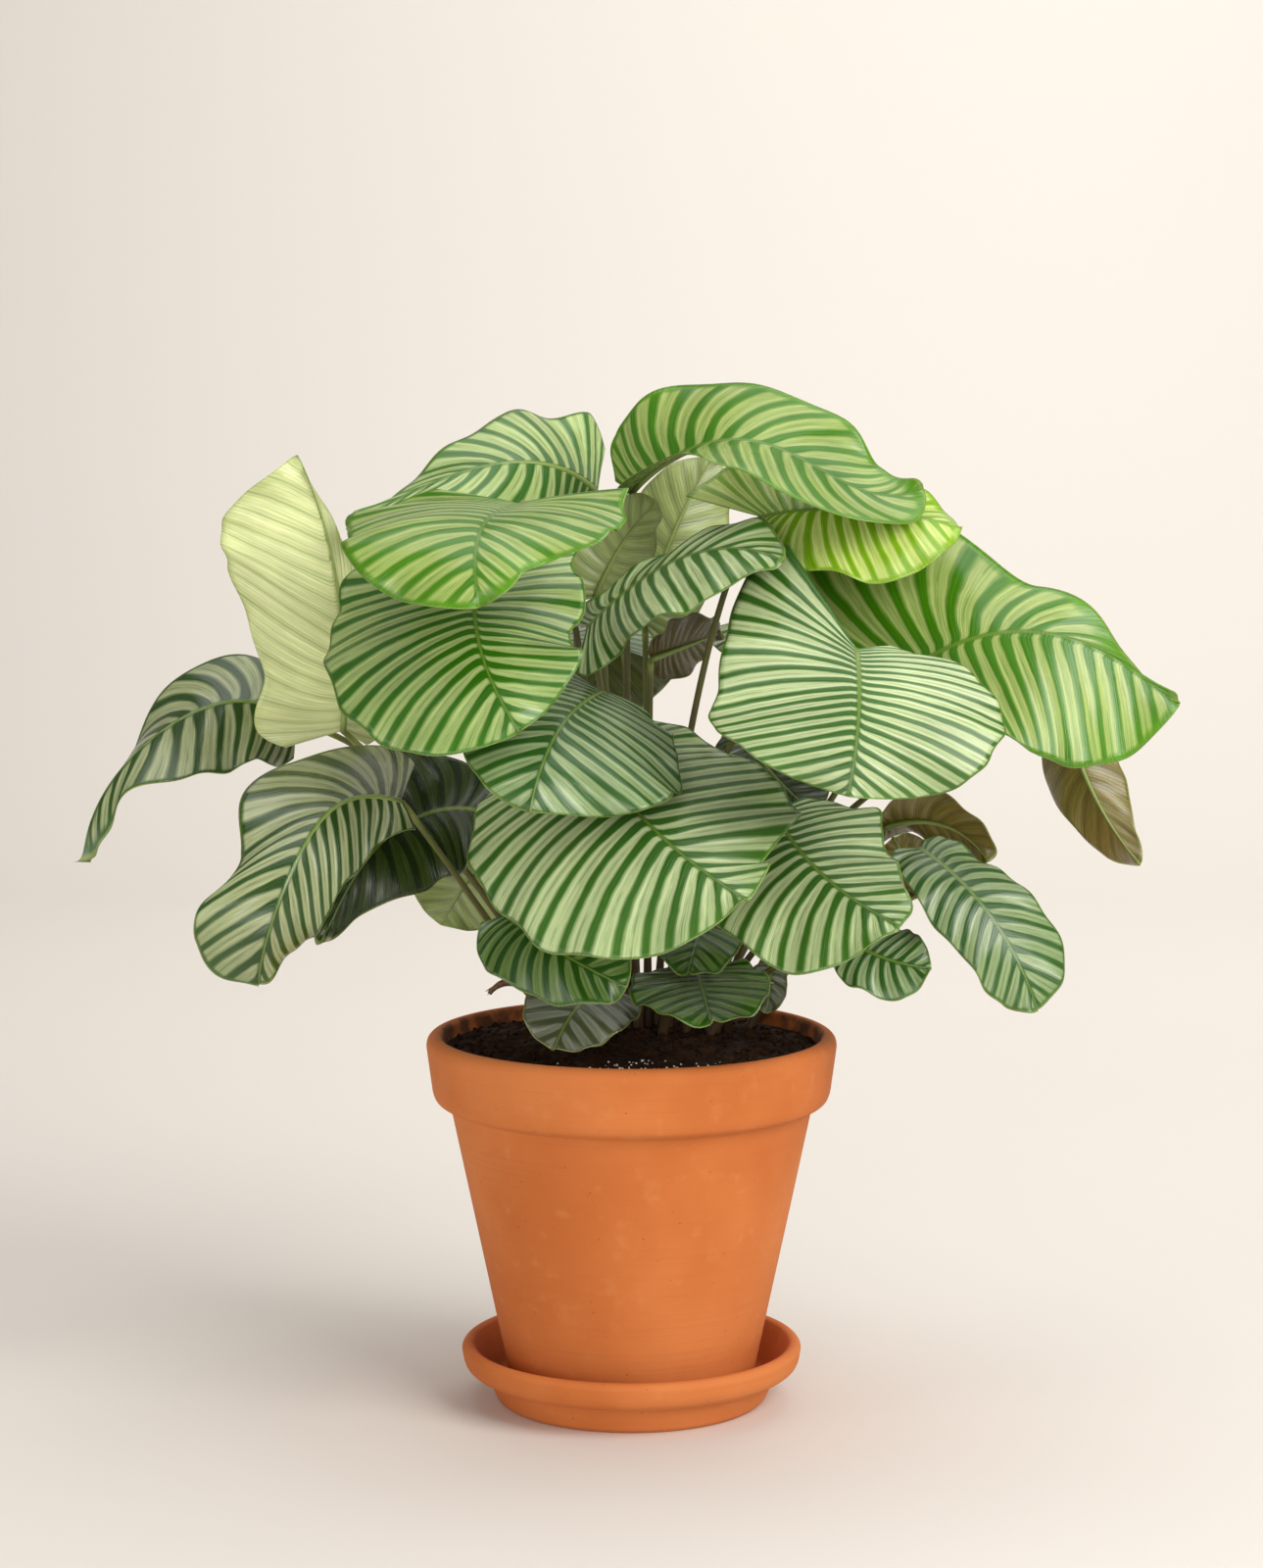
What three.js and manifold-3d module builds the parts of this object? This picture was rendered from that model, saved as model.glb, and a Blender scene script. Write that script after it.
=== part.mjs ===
// A potted Calathea orbifolia: round, silver-striped leaves on arching stalks, in a clay pot on its saucer.
// Millimetres, +Z up. The origin is the centre of the saucer's flat base, and the plant is seen best from -Y.
import * as THREE from "three";
import { mergeVertices } from "three/addons/utils/BufferGeometryUtils.js";
import Module from "manifold-3d";

const wasm = await Module();
wasm.setup();

// Driving sizes of the saucer, the pot and the soil
const ROUND_SIDES = 32;
const REST_GAP = 0.3;
const SAUCER = { base: 100, neck: 107, lip: 125, height: 43, lipHeight: 21, floor: 9, wall: 11 };
const POT_RIM = { radius: 150, height: 50, inner: 138 };
const POT = { top: 272, bottomRadius: 88, wall: 11, floor: 12, drain: 14 };
const POT_BOTTOM = SAUCER.floor + REST_GAP;
const SOIL = { edge: 261, mound: 9, roughness: 2.2, rings: 4 };

// Driving sizes of every leaf
const STALK_SIDES = 5;
const SMALL_STALK_SIDES = 4;
const STALK_STEPS = 5;
const STALK_DEPTH = 30;
const STALK_CLEARANCE = 0.35;
const BLADE_THICKNESS = 0.9;
const RIB_STEPS = 2;
const RIB_SHARE = 0.55;
const WIDEST_AT = 0.43;
const NOTCH_ANGLE = 0.24;
const TIP_HALF_WIDTH = 0.012;
const EVEN_REACH = [1, 1, 1, 1, 1];

// The brown stub of a stalk that broke off, leaning out over the soil
const STUB = { radius: 2.5, points: [[-62, -16, 231], [-65, -18, 288], [-90, -20, 312], [-103, -22, 304]] };

const CLAY = new THREE.MeshStandardMaterial({ color: 0xc4703c, roughness: 0.85, metalness: 0 });
const EARTH = new THREE.MeshStandardMaterial({ color: 0x2c1c12, roughness: 1, metalness: 0 });
const BROWN = new THREE.MeshStandardMaterial({ color: 0x5a3f28, roughness: 0.9, metalness: 0 });
const GREEN = new THREE.MeshStandardMaterial({ color: 0x4f8a3a, roughness: 0.45, metalness: 0 });

// Each leaf: foot is where its stalk leaves the soil and way is a point its stalk bends towards; rib runs from the
// blade's base to its tip; width is the flat blade's, widest and lobe are shares of its length, and rightLobe is
// the right half's lobe where it differs; face is where the upper side looks at the base and at the tip; left and
// right are each half's angles in degrees, at the rib and more by the margin, at the base and then at the tip;
// wave is the margin's height in mm, its waves and where they start; the two reaches make a half wider or narrower
// from base to tip, and a tear is cut in at a place, span and depth.
const LEAVES = [
  {
    name: "leaf_upright_left", foot: [-38, 44], width: 176, wave: [4, 3, 0.1], widest: 0.64, mesh: [9, 6],
    rib: [[-209, 0, 493], [-211, -10, 597], [-222, -15, 650], [-238, -20, 692]], way: [-144, 12, 432], rise: 0.06,
    face: [[-0.2, 0.95, 0.1], [-0.1, 1, 0.1]], left: [35, 20, 60, 20], right: [0, 10, 0, 10],
    leftReach: [1, 0.95, 0.22, 0.02, 0.02], rightReach: [1.6, 0.78, 0.84, 1.08, 1],
  },
  {
    name: "leaf_far_left", foot: [-46, 56], width: 145, wave: [5, 2.5, 0.3], mesh: [10, 8],
    rib: [[-249, 50, 496], [-314, 20, 507], [-357, 0, 479], [-383, -20, 444], [-394, -30, 401]],
    face: [[0, -0.8, 0.6], [-0.9, -0.2, 0.35]], left: [-10, -10, -50, -10], right: [0, 0, -30, -10],
    leftReach: [1, 0.75, 0.6, 0.3, 0.3], rightReach: [1.3, 0.7, 0.55, 0.7, 0.8],
  },
  {
    name: "leaf_low_left", foot: [-44, 28], width: 135, wave: [5, 2.5, 0.6], widest: 0.55, mesh: [10, 8],
    rib: [[-160, -110, 455], [-194, -130, 458], [-222, -175, 430], [-245, -200, 370], [-252, -185, 338]],
    face: [[0.1, -0.6, 0.8], [0.3, -0.9, 0.25]], left: [-35, -15, -30, -10], right: [-15, -10, -15, -10],
    leftReach: [0.8, 0.7, 0.65, 0.8, 1], rightReach: [3.2, 1.2, 0.55, 1.05, 1.7], way: [-138, -72, 416], rise: 0.06,
  },
  {
    name: "leaf_front_left", foot: [-22, 26], width: 205, wave: [4, 2.5, 0.2], lobe: 0.3, mesh: [9, 8],
    rib: [[-110, -105, 610], [-106, -150, 582], [-97, -190, 553], [-74, -215, 512]],
    face: [[-0.1, -0.5, 0.85], [-0.1, -0.85, 0.5]], left: [-5, -10, -5, -10], right: [-5, -20, -5, -20],
    leftReach: [1.5, 0.85, 0.62, 0.8, 1], rightReach: [1.8, 1.2, 1.02, 1, 1],
  },
  {
    name: "leaf_top_left_front", foot: [-14, 44], width: 200, wave: [5, 3, 0.4], mesh: [9, 8],
    rib: [[-77, -110, 660], [-91, -150, 655], [-101, -190, 642], [-103, -215, 621], [-100, -224, 595]],
    face: [[0.05, -0.13, 1], [0, -0.9, 0.5]], left: [18, -25, 5, -15], right: [4, -35, 0, -30],
    leftReach: [1.5, 1, 0.85, 0.5, 0.5], rightReach: [2.2, 1.3, 1, 1, 1],
    way: [-38, -16, 668],
  },
  {
    name: "leaf_top_left_back", foot: [-16, 54], width: 150, wave: [4, 2.5, 0.1], mesh: [9, 6],
    rib: [[-25, 72, 665], [-62, 41, 685], [-120, 5, 680], [-203, -30, 640]],
    face: [[0, -0.6, 0.8], [0, -0.2, 1]], left: [-60, 0, 10, 0], right: [5, 0, 0, 0],
    leftReach: [1.5, 1.1, 0.4, 0.3, 0.3], rightReach: [2.6, 1.15, 0.5, 0.2, 0.2],
  },
  {
    name: "leaf_top_right", foot: [-2, 52], width: 170, wave: [4, 2.5, 0.5], lobe: 0.11, mesh: [9, 8],
    rib: [[0, -20, 667], [38, -45, 695], [74, -60, 703], [122, -82, 688], [202, -95, 670]], way: [-6, 8, 600],
    face: [[-0.3, -0.8, 0.5], [0.1, -0.6, 0.8]], left: [0, 0, 0, 0], right: [60, 10, 5, 0],
    leftReach: [0.95, 0.8, 0.56, 0.6, 0.6], rightReach: [0.5, 0.45, 0.8, 0.9, 0.8],
  },
  {
    name: "leaf_top_right_under", foot: [18, 44], width: 150, wave: [4, 2.5, 0.2], mesh: [9, 8],
    rib: [[90, -70, 650], [150, -92, 656], [228, -104, 643]],
    face: [[0, -0.6, 0.8], [0.1, -0.6, 0.8]], left: [0, 0, -20, 0], right: [-10, 0, -10, 0],
    leftReach: [2, 1.1, 0.75, 0.7, 0.8], rightReach: [1.6, 0.8, 0.84, 1, 1],
    lobe: 0.5,
  },
  {
    name: "leaf_centre_high", foot: [-4, 32], width: 120, wave: [4, 2.5, 0.2], lobe: 0.14, mesh: [9, 6],
    rib: [[-31, -75, 573], [4, -95, 605], [50, -123, 628], [103, -150, 623]],
    face: [[-0.1, -0.5, 0.85], [0, -0.5, 0.85]], left: [0, 0, 0, 0], right: [-10, -10, -10, -10],
    leftReach: [1.5, 0.35, 0.5, 0.8, 0.8], rightReach: [1.5, 0.8, 0.9, 1, 1],
  },
  {
    name: "leaf_front_right", foot: [26, 26], width: 200, wave: [4, 2.5, 0.3], lobe: 0.08, mesh: [10, 8],
    rib: [[150, -196, 566], [150, -224, 530], [142, -240, 472]],
    face: [[0, -0.6, 0.8], [0, -0.95, 0.2]], left: [-5, -20, -5, -10], right: [-5, -20, -5, -10],
    leftReach: [0.9, 1.0, 1, 1, 1], rightReach: [1.3, 1.0, 1.0, 1, 1],
    way: [45, -85, 540],
    rightLobe: 1,
  },
  {
    name: "leaf_right", foot: [52, 36], width: 185, wave: [4, 3, 0.1], mesh: [9, 8],
    rib: [[180, -105, 530], [230, -115, 566], [300, -118, 568], [340, -111, 549], [380, -100, 521]], way: [172, -46, 480], rise: 0.2,
    face: [[0, -0.85, 0.5], [0.1, -0.85, 0.5]], left: [-5, -10, -5, -10], right: [0, -5, 0, -5],
    leftReach: [2.6, 1.75, 0.45, 0.08, 0.2], rightReach: [0.8, 0.64, 0.96, 1.25, 1.3],
  },
  {
    name: "leaf_far_right", foot: [48, 52], width: 78, wave: [5, 2, 0.2], mesh: [6, 6],
    rib: [[315, 20, 515], [330, 10, 460], [370, 0, 395]],
    face: [[0, 1, 0.2], [0, 1, 0.1]], left: [40, 10, 40, 10], right: [10, 10, 10, 10],
    leftReach: [1, 0.9, 1, 0.9, 0.8], rightReach: [1, 0.9, 0.7, 0.5, 0.5],
  },
  {
    name: "leaf_centre", foot: [-12, 16], width: 180, wave: [4, 2.5, 0.2], mesh: [9, 8],
    rib: [[-19, -90, 529], [-37, -130, 521], [-58, -185, 492], [-68, -205, 458]],
    face: [[0.1, -0.5, 0.85], [0.1, -0.8, 0.6]], left: [-5, -10, -5, -10], right: [-5, -10, -5, -10],
    leftReach: [0.9, 0.88, 1.0, 1.2, 1], rightReach: [1.4, 0.85, 0.75, 0.8, 1],
  },
  {
    name: "leaf_front_centre", foot: [6, 18], width: 225, wave: [3, 2.5, 0.7], mesh: [10, 8],
    rib: [[-30, -90, 490], [25, -190, 435], [75, -250, 405]],
    face: [[-0.2, -0.45, 0.85], [-0.25, -0.6, 0.75]], left: [-5, -10, -5, -10], right: [-5, -15, -5, -15],
    leftReach: [1, 0.86, 0.86, 1, 1], rightReach: [1.4, 1.1, 1.02, 1, 1], leftTear: [0.8, 0.1, 0.5],
  },
  {
    name: "leaf_low_right_front", foot: [58, 12], width: 165, wave: [4, 2.5, 0.1], mesh: [9, 8],
    rib: [[100, -100, 445], [135, -160, 405], [180, -200, 380]], way: [118, -46, 405],
    face: [[-0.1, -0.6, 0.8], [0, -0.7, 0.7]], left: [-5, -10, -5, -10], right: [-5, -15, -5, -15],
    leftReach: [1, 0.95, 0.7, 0.6, 1], rightReach: [1, 0.95, 0.95, 1, 1],
  },
  {
    name: "leaf_low_right", foot: [52, 22], width: 100, wave: [3, 3, 0.4], mesh: [9, 6],
    rib: [[205, -60, 415], [245, -90, 380], [285, -100, 305]],
    face: [[0.3, -0.6, 0.6], [0.3, -0.9, 0.3]], left: [-5, -10, -5, -10], right: [-5, -15, -5, -15],
    leftReach: [1, 0.8, 0.85, 1.15, 1], rightReach: [1, 0.8, 0.72, 0.8, 1],
  },
  {
    name: "leaf_low_right_back", foot: [56, 42], width: 56, wave: [4, 2, 0.4], mesh: [6, 4],
    rib: [[185, 10, 422], [222, 0, 426], [258, -20, 400]],
    face: [[0, 0.8, 0.6], [0, 0.8, 0.6]], left: [0, 0, 0, 0], right: [0, 0, 0, 0],
    leftReach: [1, 0.6, 0.7, 0.8, 1],
  },
  {
    name: "leaf_low_right_small", foot: [50, 4], width: 60, wave: [3, 2, 0.4], mesh: [6, 4],
    rib: [[155, -70, 350], [180, -90, 340], [210, -100, 335]],
    face: [[0, -0.7, 0.7], [0, -0.8, 0.6]], left: [0, 0, 0, 0], right: [-10, -10, -10, -10],
    way: [110, -46, 345],
  },
  {
    name: "leaf_low_front_left", foot: [-32, 10], width: 110, wave: [3, 2.5, 0.4], mesh: [7, 6],
    rib: [[-88, -110, 375], [-48, -140, 352], [-3, -150, 330]],
    face: [[-0.1, -0.7, 0.7], [0, -0.8, 0.6]], left: [0, 0, 0, 0], right: [-10, -20, -10, -10],
    rightReach: [1, 0.8, 0.65, 0.6, 1],
  },
  {
    name: "leaf_low_front", foot: [20, 8], width: 100, wave: [3, 2.5, 0.4], mesh: [8, 6],
    rib: [[45, -60, 330], [50, -110, 320], [55, -150, 305]],
    face: [[0, -0.5, 0.85], [0, -0.5, 0.85]], left: [0, 0, 0, 0], right: [0, 0, 0, 0],
  },
  {
    name: "leaf_low_front_behind", foot: [40, 20], width: 70, wave: [3, 2.5, 0.4], mesh: [6, 4],
    rib: [[57, -25, 372], [47, -65, 352], [39, -95, 330]],
    face: [[0, -0.5, 0.85], [0, -0.6, 0.75]], left: [0, 0, 0, 0], right: [0, 0, 0, 0],
  },
  {
    name: "leaf_on_soil", foot: [-14, 0], width: 80, wave: [2, 2.5, 0.4], mesh: [6, 4],
    rib: [[-14, -60, 315], [-36, -90, 308], [-54, -115, 280]],
    face: [[0, -0.5, 0.85], [0, -0.6, 0.75]], left: [0, 0, 0, 0], right: [0, 0, 0, 0],
  },
  {
    name: "leaf_short_right", foot: [66, 28], width: 26, wave: [1, 2, 0.4], mesh: [5, 4],
    rib: [[100, -10, 325], [100, -20, 310], [97, -25, 290]],
    face: [[0, -0.7, 0.7], [0, -1, 0.2]], left: [0, 0, 0, 0], right: [0, 0, 0, 0],
  },
  {
    name: "leaf_low_left_behind", foot: [-34, 52], width: 100, wave: [4, 2.5, 0.4], mesh: [8, 6], widest: 0.36,
    rib: [[-109, -20, 437], [-144, -30, 437], [-172, -50, 423], [-198, -80, 392], [-217, -110, 354]],
    face: [[0, -0.75, 0.65], [0.4, -0.85, 0.3]], left: [0, 0, -20, -20], right: [0, 10, 30, 40],
    leftReach: [1, 1.15, 0.95, 0.5, 0.3],
  },
  {
    name: "leaf_low_left_under", foot: [-54, 50], width: 80, wave: [3, 2.5, 0.4], mesh: [6, 4],
    rib: [[-105, 38, 400], [-120, 42, 380], [-140, 38, 345]],
    face: [[0.2, 0.9, 0.3], [0.2, 0.9, 0.3]], left: [0, 0, 0, 0], right: [0, 0, 0, 0],
  },
  {
    name: "leaf_back_left_high", foot: [-32, 68], width: 80, wave: [3, 2, 0.4], mesh: [7, 4],
    rib: [[-48, 84, 636], [-90, 88, 652], [-148, 72, 640]],
    face: [[0, -0.3, 0.95], [0, -0.3, 0.95]], left: [0, 0, 0, 0], right: [0, 0, 0, 0],
  },
  {
    name: "leaf_upright_centre", foot: [12, 58], width: 84, wave: [4, 2, 0.4], mesh: [6, 4],
    rib: [[10, 52, 565], [30, 70, 630], [62, 95, 690]],
    face: [[0.2, 0.9, 0.3], [0.2, 0.9, 0.1]], left: [20, 0, 20, 0], right: [20, 0, 20, 0],
  },
  {
    name: "leaf_upright_small", foot: [-8, 40], width: 60, wave: [2, 2, 0.4], mesh: [6, 4],
    rib: [[-26, -45, 592], [-8, -40, 628], [18, -32, 660]],
    face: [[-0.3, 0.9, 0.3], [-0.3, 0.9, 0.3]], left: [10, 0, 10, 0], right: [10, 0, 10, 0],
  },
  {
    name: "leaf_right_inner", foot: [30, 50], width: 100, wave: [3, 2, 0.4], mesh: [6, 4],
    rib: [[100, -10, 555], [145, 10, 590], [190, 40, 600]],
    face: [[0, 0.7, 0.7], [0, 0.7, 0.7]], left: [0, 0, 0, 0], right: [0, 0, 0, 0],
  },
  {
    name: "leaf_centre_inner", foot: [12, 40], width: 60, wave: [2, 2, 0.4], mesh: [6, 4],
    rib: [[14, 12, 545], [36, 22, 552], [66, 37, 562]],
    face: [[0.2, 0.75, 0.6], [0.2, 0.75, 0.6]], left: [0, 0, 0, 0], right: [0, 0, 0, 0],
  },
  {
    name: "leaf_low_right_inner", foot: [28, 40], width: 84, wave: [3, 2, 0.4], mesh: [7, 4],
    rib: [[80, -30, 492], [102, -48, 465], [130, -67, 440]],
    face: [[0, -0.6, 0.8], [0, -0.6, 0.8]], left: [0, 0, 0, 0], right: [0, 0, 0, 0],
  },
  {
    name: "leaf_rear_left", foot: [-24, 82], width: 135, wave: [4, 2.5, 0.3], mesh: [7, 4],
    rib: [[-88, 92, 545], [-140, 150, 565], [-185, 205, 515]],
    face: [[0, 0.2, 1], [-0.4, 0.5, 0.7]], left: [-5, -20, -5, -20], right: [-5, -20, -5, -20],
  },
  {
    name: "leaf_rear_centre", foot: [4, 76], width: 122, wave: [4, 2.5, 0.3], mesh: [7, 4],
    rib: [[-6, 98, 545], [-14, 165, 560], [-22, 215, 480]],
    face: [[0, 0.1, 1], [0, 0.7, 0.7]], left: [-5, -20, -5, -20], right: [-5, -20, -5, -20],
  },
  {
    name: "leaf_rear_right", foot: [46, 70], width: 170, wave: [4, 2.5, 0.3], mesh: [7, 4], way: [68, 76, 480],
    rib: [[90, 80, 560], [150, 140, 590], [210, 195, 555]],
    face: [[0, 0.1, 1], [0.4, 0.5, 0.7]], left: [-5, -20, -5, -20], right: [-5, -20, -5, -20],
  },
  {
    name: "leaf_rear_low_left", foot: [-42, 68], width: 100, wave: [3, 2.5, 0.3], mesh: [6, 4],
    rib: [[-65, 85, 400], [-105, 125, 420], [-140, 165, 385]],
    face: [[0, 0.1, 1], [-0.4, 0.5, 0.7]], left: [-5, -20, -5, -20], right: [-5, -20, -5, -20],
  },
  {
    name: "leaf_rear_low_centre", foot: [-6, 94], width: 130, wave: [3, 2.5, 0.3], mesh: [7, 4],
    rib: [[0, 115, 400], [0, 175, 420], [0, 235, 370]],
    face: [[0, 0.1, 1], [0, 0.7, 0.7]], left: [-5, -20, -5, -20], right: [-5, -20, -5, -20],
  },
  {
    name: "leaf_rear_low_right", foot: [68, 58], width: 130, wave: [3, 2.5, 0.3], mesh: [7, 4],
    rib: [[70, 80, 420], [110, 125, 440], [150, 165, 400]],
    face: [[0, 0.1, 1], [0.4, 0.5, 0.7]], left: [-5, -20, -5, -20], right: [-5, -20, -5, -20],
  },
  {
    name: "leaf_low_right_narrow", foot: [82, 40], width: 44, wave: [2, 2, 0.2], mesh: [6, 4],
    rib: [[212, 4, 374], [203, 0, 392], [190, -5, 416]], way: [168, 14, 352], rise: 0.5,
    face: [[0.1, 1, 0.2], [0.1, 1, 0.1]], left: [10, 20, 10, 20], right: [10, 20, 10, 20],
  },
];

const lerp = (a, b, t) => a + (b - a) * t;
const clamp01 = (t) => Math.min(1, Math.max(0, t));
const smooth = (t) => clamp01(t) ** 2 * (3 - 2 * clamp01(t));

// A smooth curve through a few points, cut into equal steps of its own length
class Path {
  constructor(points, steps = 120) {
    const p = points.map((q) => new THREE.Vector3(...q));
    const knots = [0];
    for (let i = 1; i < p.length; i += 1) knots.push(knots[i - 1] + p[i].distanceTo(p[i - 1]));
    const end = knots[knots.length - 1];
    const raw = Array.from({ length: steps + 1 }, (_, k) => {
      const t = (end * k) / steps;
      const sum = new THREE.Vector3();
      p.forEach((q, i) => {
        const weight = knots.reduce((w, x, j) => (j === i ? w : (w * (t - x)) / (knots[i] - x)), 1);
        sum.addScaledVector(q, weight);
      });
      return sum;
    });
    this.points = raw;
    this.run = [0];
    for (let i = 1; i < raw.length; i += 1) this.run.push(this.run[i - 1] + raw[i].distanceTo(raw[i - 1]));
    this.length = this.run[this.run.length - 1];
  }

  // The point and direction at a distance along the curve, straight on past either end
  at(distance) {
    const last = this.points.length - 1;
    let i = this.run.findIndex((d) => d > distance) - 1;
    if (distance < 0) i = 0;
    if (i < 0) i = last - 1;
    const direction = this.points[i + 1].clone().sub(this.points[i]);
    const share = (distance - this.run[i]) / direction.length();
    const point = this.points[i].clone().addScaledVector(direction, share);
    const before = this.points[Math.max(0, i - 1)];
    const after = this.points[Math.min(last, i + 2)];
    return { point, tangent: after.clone().sub(before).normalize() };
  }
}

// A closed solid from a grid of points, its two faces split alike and walled in round the edge
function thickSheet(grid, thickness) {
  const rows = grid.length;
  const columns = grid[0].length;
  const normalAt = (i, j) => {
    const along = grid[Math.min(rows - 1, i + 1)][j].clone().sub(grid[Math.max(0, i - 1)][j]);
    const across = grid[i][Math.min(columns - 1, j + 1)].clone().sub(grid[i][Math.max(0, j - 1)]);
    return across.cross(along).normalize();
  };
  const vertices = [];
  for (const side of [0.5, -0.5])
    for (let i = 0; i < rows; i += 1)
      for (let j = 0; j < columns; j += 1)
        vertices.push(...grid[i][j].clone().addScaledVector(normalAt(i, j), side * thickness).toArray());
  const top = (i, j) => i * columns + j;
  const under = (i, j) => rows * columns + top(i, j);
  const triangles = [];
  for (let i = 0; i < rows - 1; i += 1)
    for (let j = 0; j < columns - 1; j += 1) {
      triangles.push(top(i, j), top(i, j + 1), top(i + 1, j + 1), top(i, j), top(i + 1, j + 1), top(i + 1, j));
      triangles.push(under(i, j), under(i + 1, j + 1), under(i, j + 1));
      triangles.push(under(i, j), under(i + 1, j), under(i + 1, j + 1));
    }
  const rim = [];
  for (let j = 0; j < columns - 1; j += 1) rim.push([0, j]);
  for (let i = 0; i < rows - 1; i += 1) rim.push([i, columns - 1]);
  for (let j = columns - 1; j > 0; j -= 1) rim.push([rows - 1, j]);
  for (let i = rows - 1; i > 0; i -= 1) rim.push([i, 0]);
  rim.forEach(([i, j], k) => {
    const [m, n] = rim[(k + 1) % rim.length];
    triangles.push(top(i, j), under(i, j), under(m, n), top(i, j), under(m, n), top(m, n));
  });
  return solid(vertices, triangles);
}

// A closed tube of a few sides through a list of points, with a radius for each
function tube(points, radii, sides) {
  const vertices = [];
  const triangles = [];
  const last = points.length - 1;
  const across = new THREE.Vector3(1, 0, 0);
  points.forEach((p, i) => {
    const tangent = points[Math.min(last, i + 1)].clone().sub(points[Math.max(0, i - 1)]).normalize();
    across.addScaledVector(tangent, -across.dot(tangent)).normalize();
    const other = tangent.clone().cross(across);
    for (let k = 0; k < sides; k += 1) {
      const a = (2 * Math.PI * k) / sides;
      const q = p.clone().addScaledVector(across, radii[i] * Math.cos(a));
      vertices.push(...q.addScaledVector(other, radii[i] * Math.sin(a)).toArray());
    }
  });
  for (let i = 0; i < last; i += 1)
    for (let k = 0; k < sides; k += 1) {
      const a = i * sides + k;
      const b = i * sides + ((k + 1) % sides);
      triangles.push(a, b, b + sides, a, b + sides, a + sides);
    }
  for (let k = 1; k < sides - 1; k += 1) {
    triangles.push(0, k + 1, k);
    triangles.push(last * sides, last * sides + k, last * sides + k + 1);
  }
  return solid(vertices, triangles);
}

function solid(vertices, triangles) {
  return new wasm.Manifold(
    new wasm.Mesh({
      numProp: 3,
      vertProperties: new Float32Array(vertices),
      triVerts: new Uint32Array(triangles),
    }),
  );
}

function solidOfGeometry(geometry) {
  const bare = new THREE.BufferGeometry().setAttribute("position", geometry.getAttribute("position"));
  if (geometry.index) bare.setIndex(geometry.index);
  const merged = mergeVertices(bare, 1e-3);
  return solid(merged.attributes.position.array, merged.index.array);
}

function meshOf(name, made, material) {
  const { vertProperties, triVerts, numProp } = made.getMesh();
  const positions = new Float32Array((vertProperties.length / numProp) * 3);
  for (let i = 0; i < positions.length / 3; i += 1)
    positions.set(vertProperties.subarray(i * numProp, i * numProp + 3), i * 3);
  const geometry = new THREE.BufferGeometry();
  geometry.setAttribute("position", new THREE.BufferAttribute(positions, 3));
  geometry.setIndex(new THREE.BufferAttribute(triVerts, 1));
  geometry.computeVertexNormals();
  const mesh = new THREE.Mesh(geometry, material);
  mesh.name = name;
  return mesh;
}

// The blade laid flat: side veins leave the midrib at s and sweep forward to the margin, a is the way across
function flatBlade(s, a, lobe, widest) {
  const start = 0.02 * s + 0.98 * s ** 1.55;
  const turn = NOTCH_ANGLE + (Math.PI - NOTCH_ANGLE) * s;
  const back = turn < Math.PI / 2;
  const taper = 1 - 0.3 * smooth((s - 0.82) / 0.18);
  const out = Math.max(TIP_HALF_WIDTH, Math.sin(turn) ** (back ? 0.85 : 1.05) * taper);
  const ahead = widest - Math.cos(turn) * (back ? widest + lobe : 1 - widest);
  const swing = 0.12 * Math.sin(Math.PI * Math.min(1, s * 1.2));
  return { out: out * a, ahead: lerp(start, ahead, a) - swing * a * (1 - a) };
}

// The midrib's point, direction and upper side at a distance along it
function frameAt(leaf, rib, distance) {
  const { point, tangent } = rib.at(distance);
  const share = clamp01(distance / rib.length);
  const facing = new THREE.Vector3(...leaf.face[0]).lerp(new THREE.Vector3(...leaf.face[1]), smooth(share));
  const normal = facing.addScaledVector(tangent, -facing.dot(tangent)).normalize();
  return { point, tangent, normal, share };
}

// The blade in space: the flat blade bent along its rib, each half folded and curled about it, its margin waved
function bladePoint(leaf, rib, s, v) {
  const lobe = (v > 0 && leaf.rightLobe) || (leaf.lobe ?? 0.09);
  const flat = flatBlade(s, Math.abs(v), lobe, leaf.widest ?? WIDEST_AT);
  const ahead = flat.ahead * rib.length;
  const { point, tangent, normal, share } = frameAt(leaf, rib, ahead);
  const aside = tangent.clone().cross(normal).multiplyScalar(v < 0 ? -1 : 1);
  const half = v < 0 ? leaf.left : leaf.right;
  const fold = THREE.MathUtils.degToRad(lerp(half[0], half[2], share));
  const curl = THREE.MathUtils.degToRad(lerp(half[1], half[3], share));
  const wide = (v < 0 ? leaf.leftReach : leaf.rightReach) ?? EVEN_REACH;
  const quarter = Math.min(3, Math.floor(s * 4));
  const share4 = lerp(wide[quarter], wide[quarter + 1], smooth(s * 4 - quarter));
  const [tearAt, tearSpan, tearDepth] = (v < 0 && leaf.leftTear) || [0, 1, 0];
  const whole = 1 - tearDepth * Math.max(0, 1 - Math.abs(s - tearAt) / tearSpan);
  const reach = (flat.out * leaf.width * share4 * whole) / 2;
  const turned = curl * flat.out;
  const spread = Math.abs(turned) < 1e-4 ? Math.cos(fold) : (Math.sin(fold + turned) - Math.sin(fold)) / turned;
  const rise = Math.abs(turned) < 1e-4 ? Math.sin(fold) : (Math.cos(fold) - Math.cos(fold + turned)) / turned;
  const [height, waves, phase] = leaf.wave;
  const ripple = height * v * v * Math.sin(2 * Math.PI * (waves * s + phase + (v < 0 ? 0.37 : 0)));
  return point.addScaledVector(aside, reach * spread).addScaledVector(normal, reach * rise + ripple);
}

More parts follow.
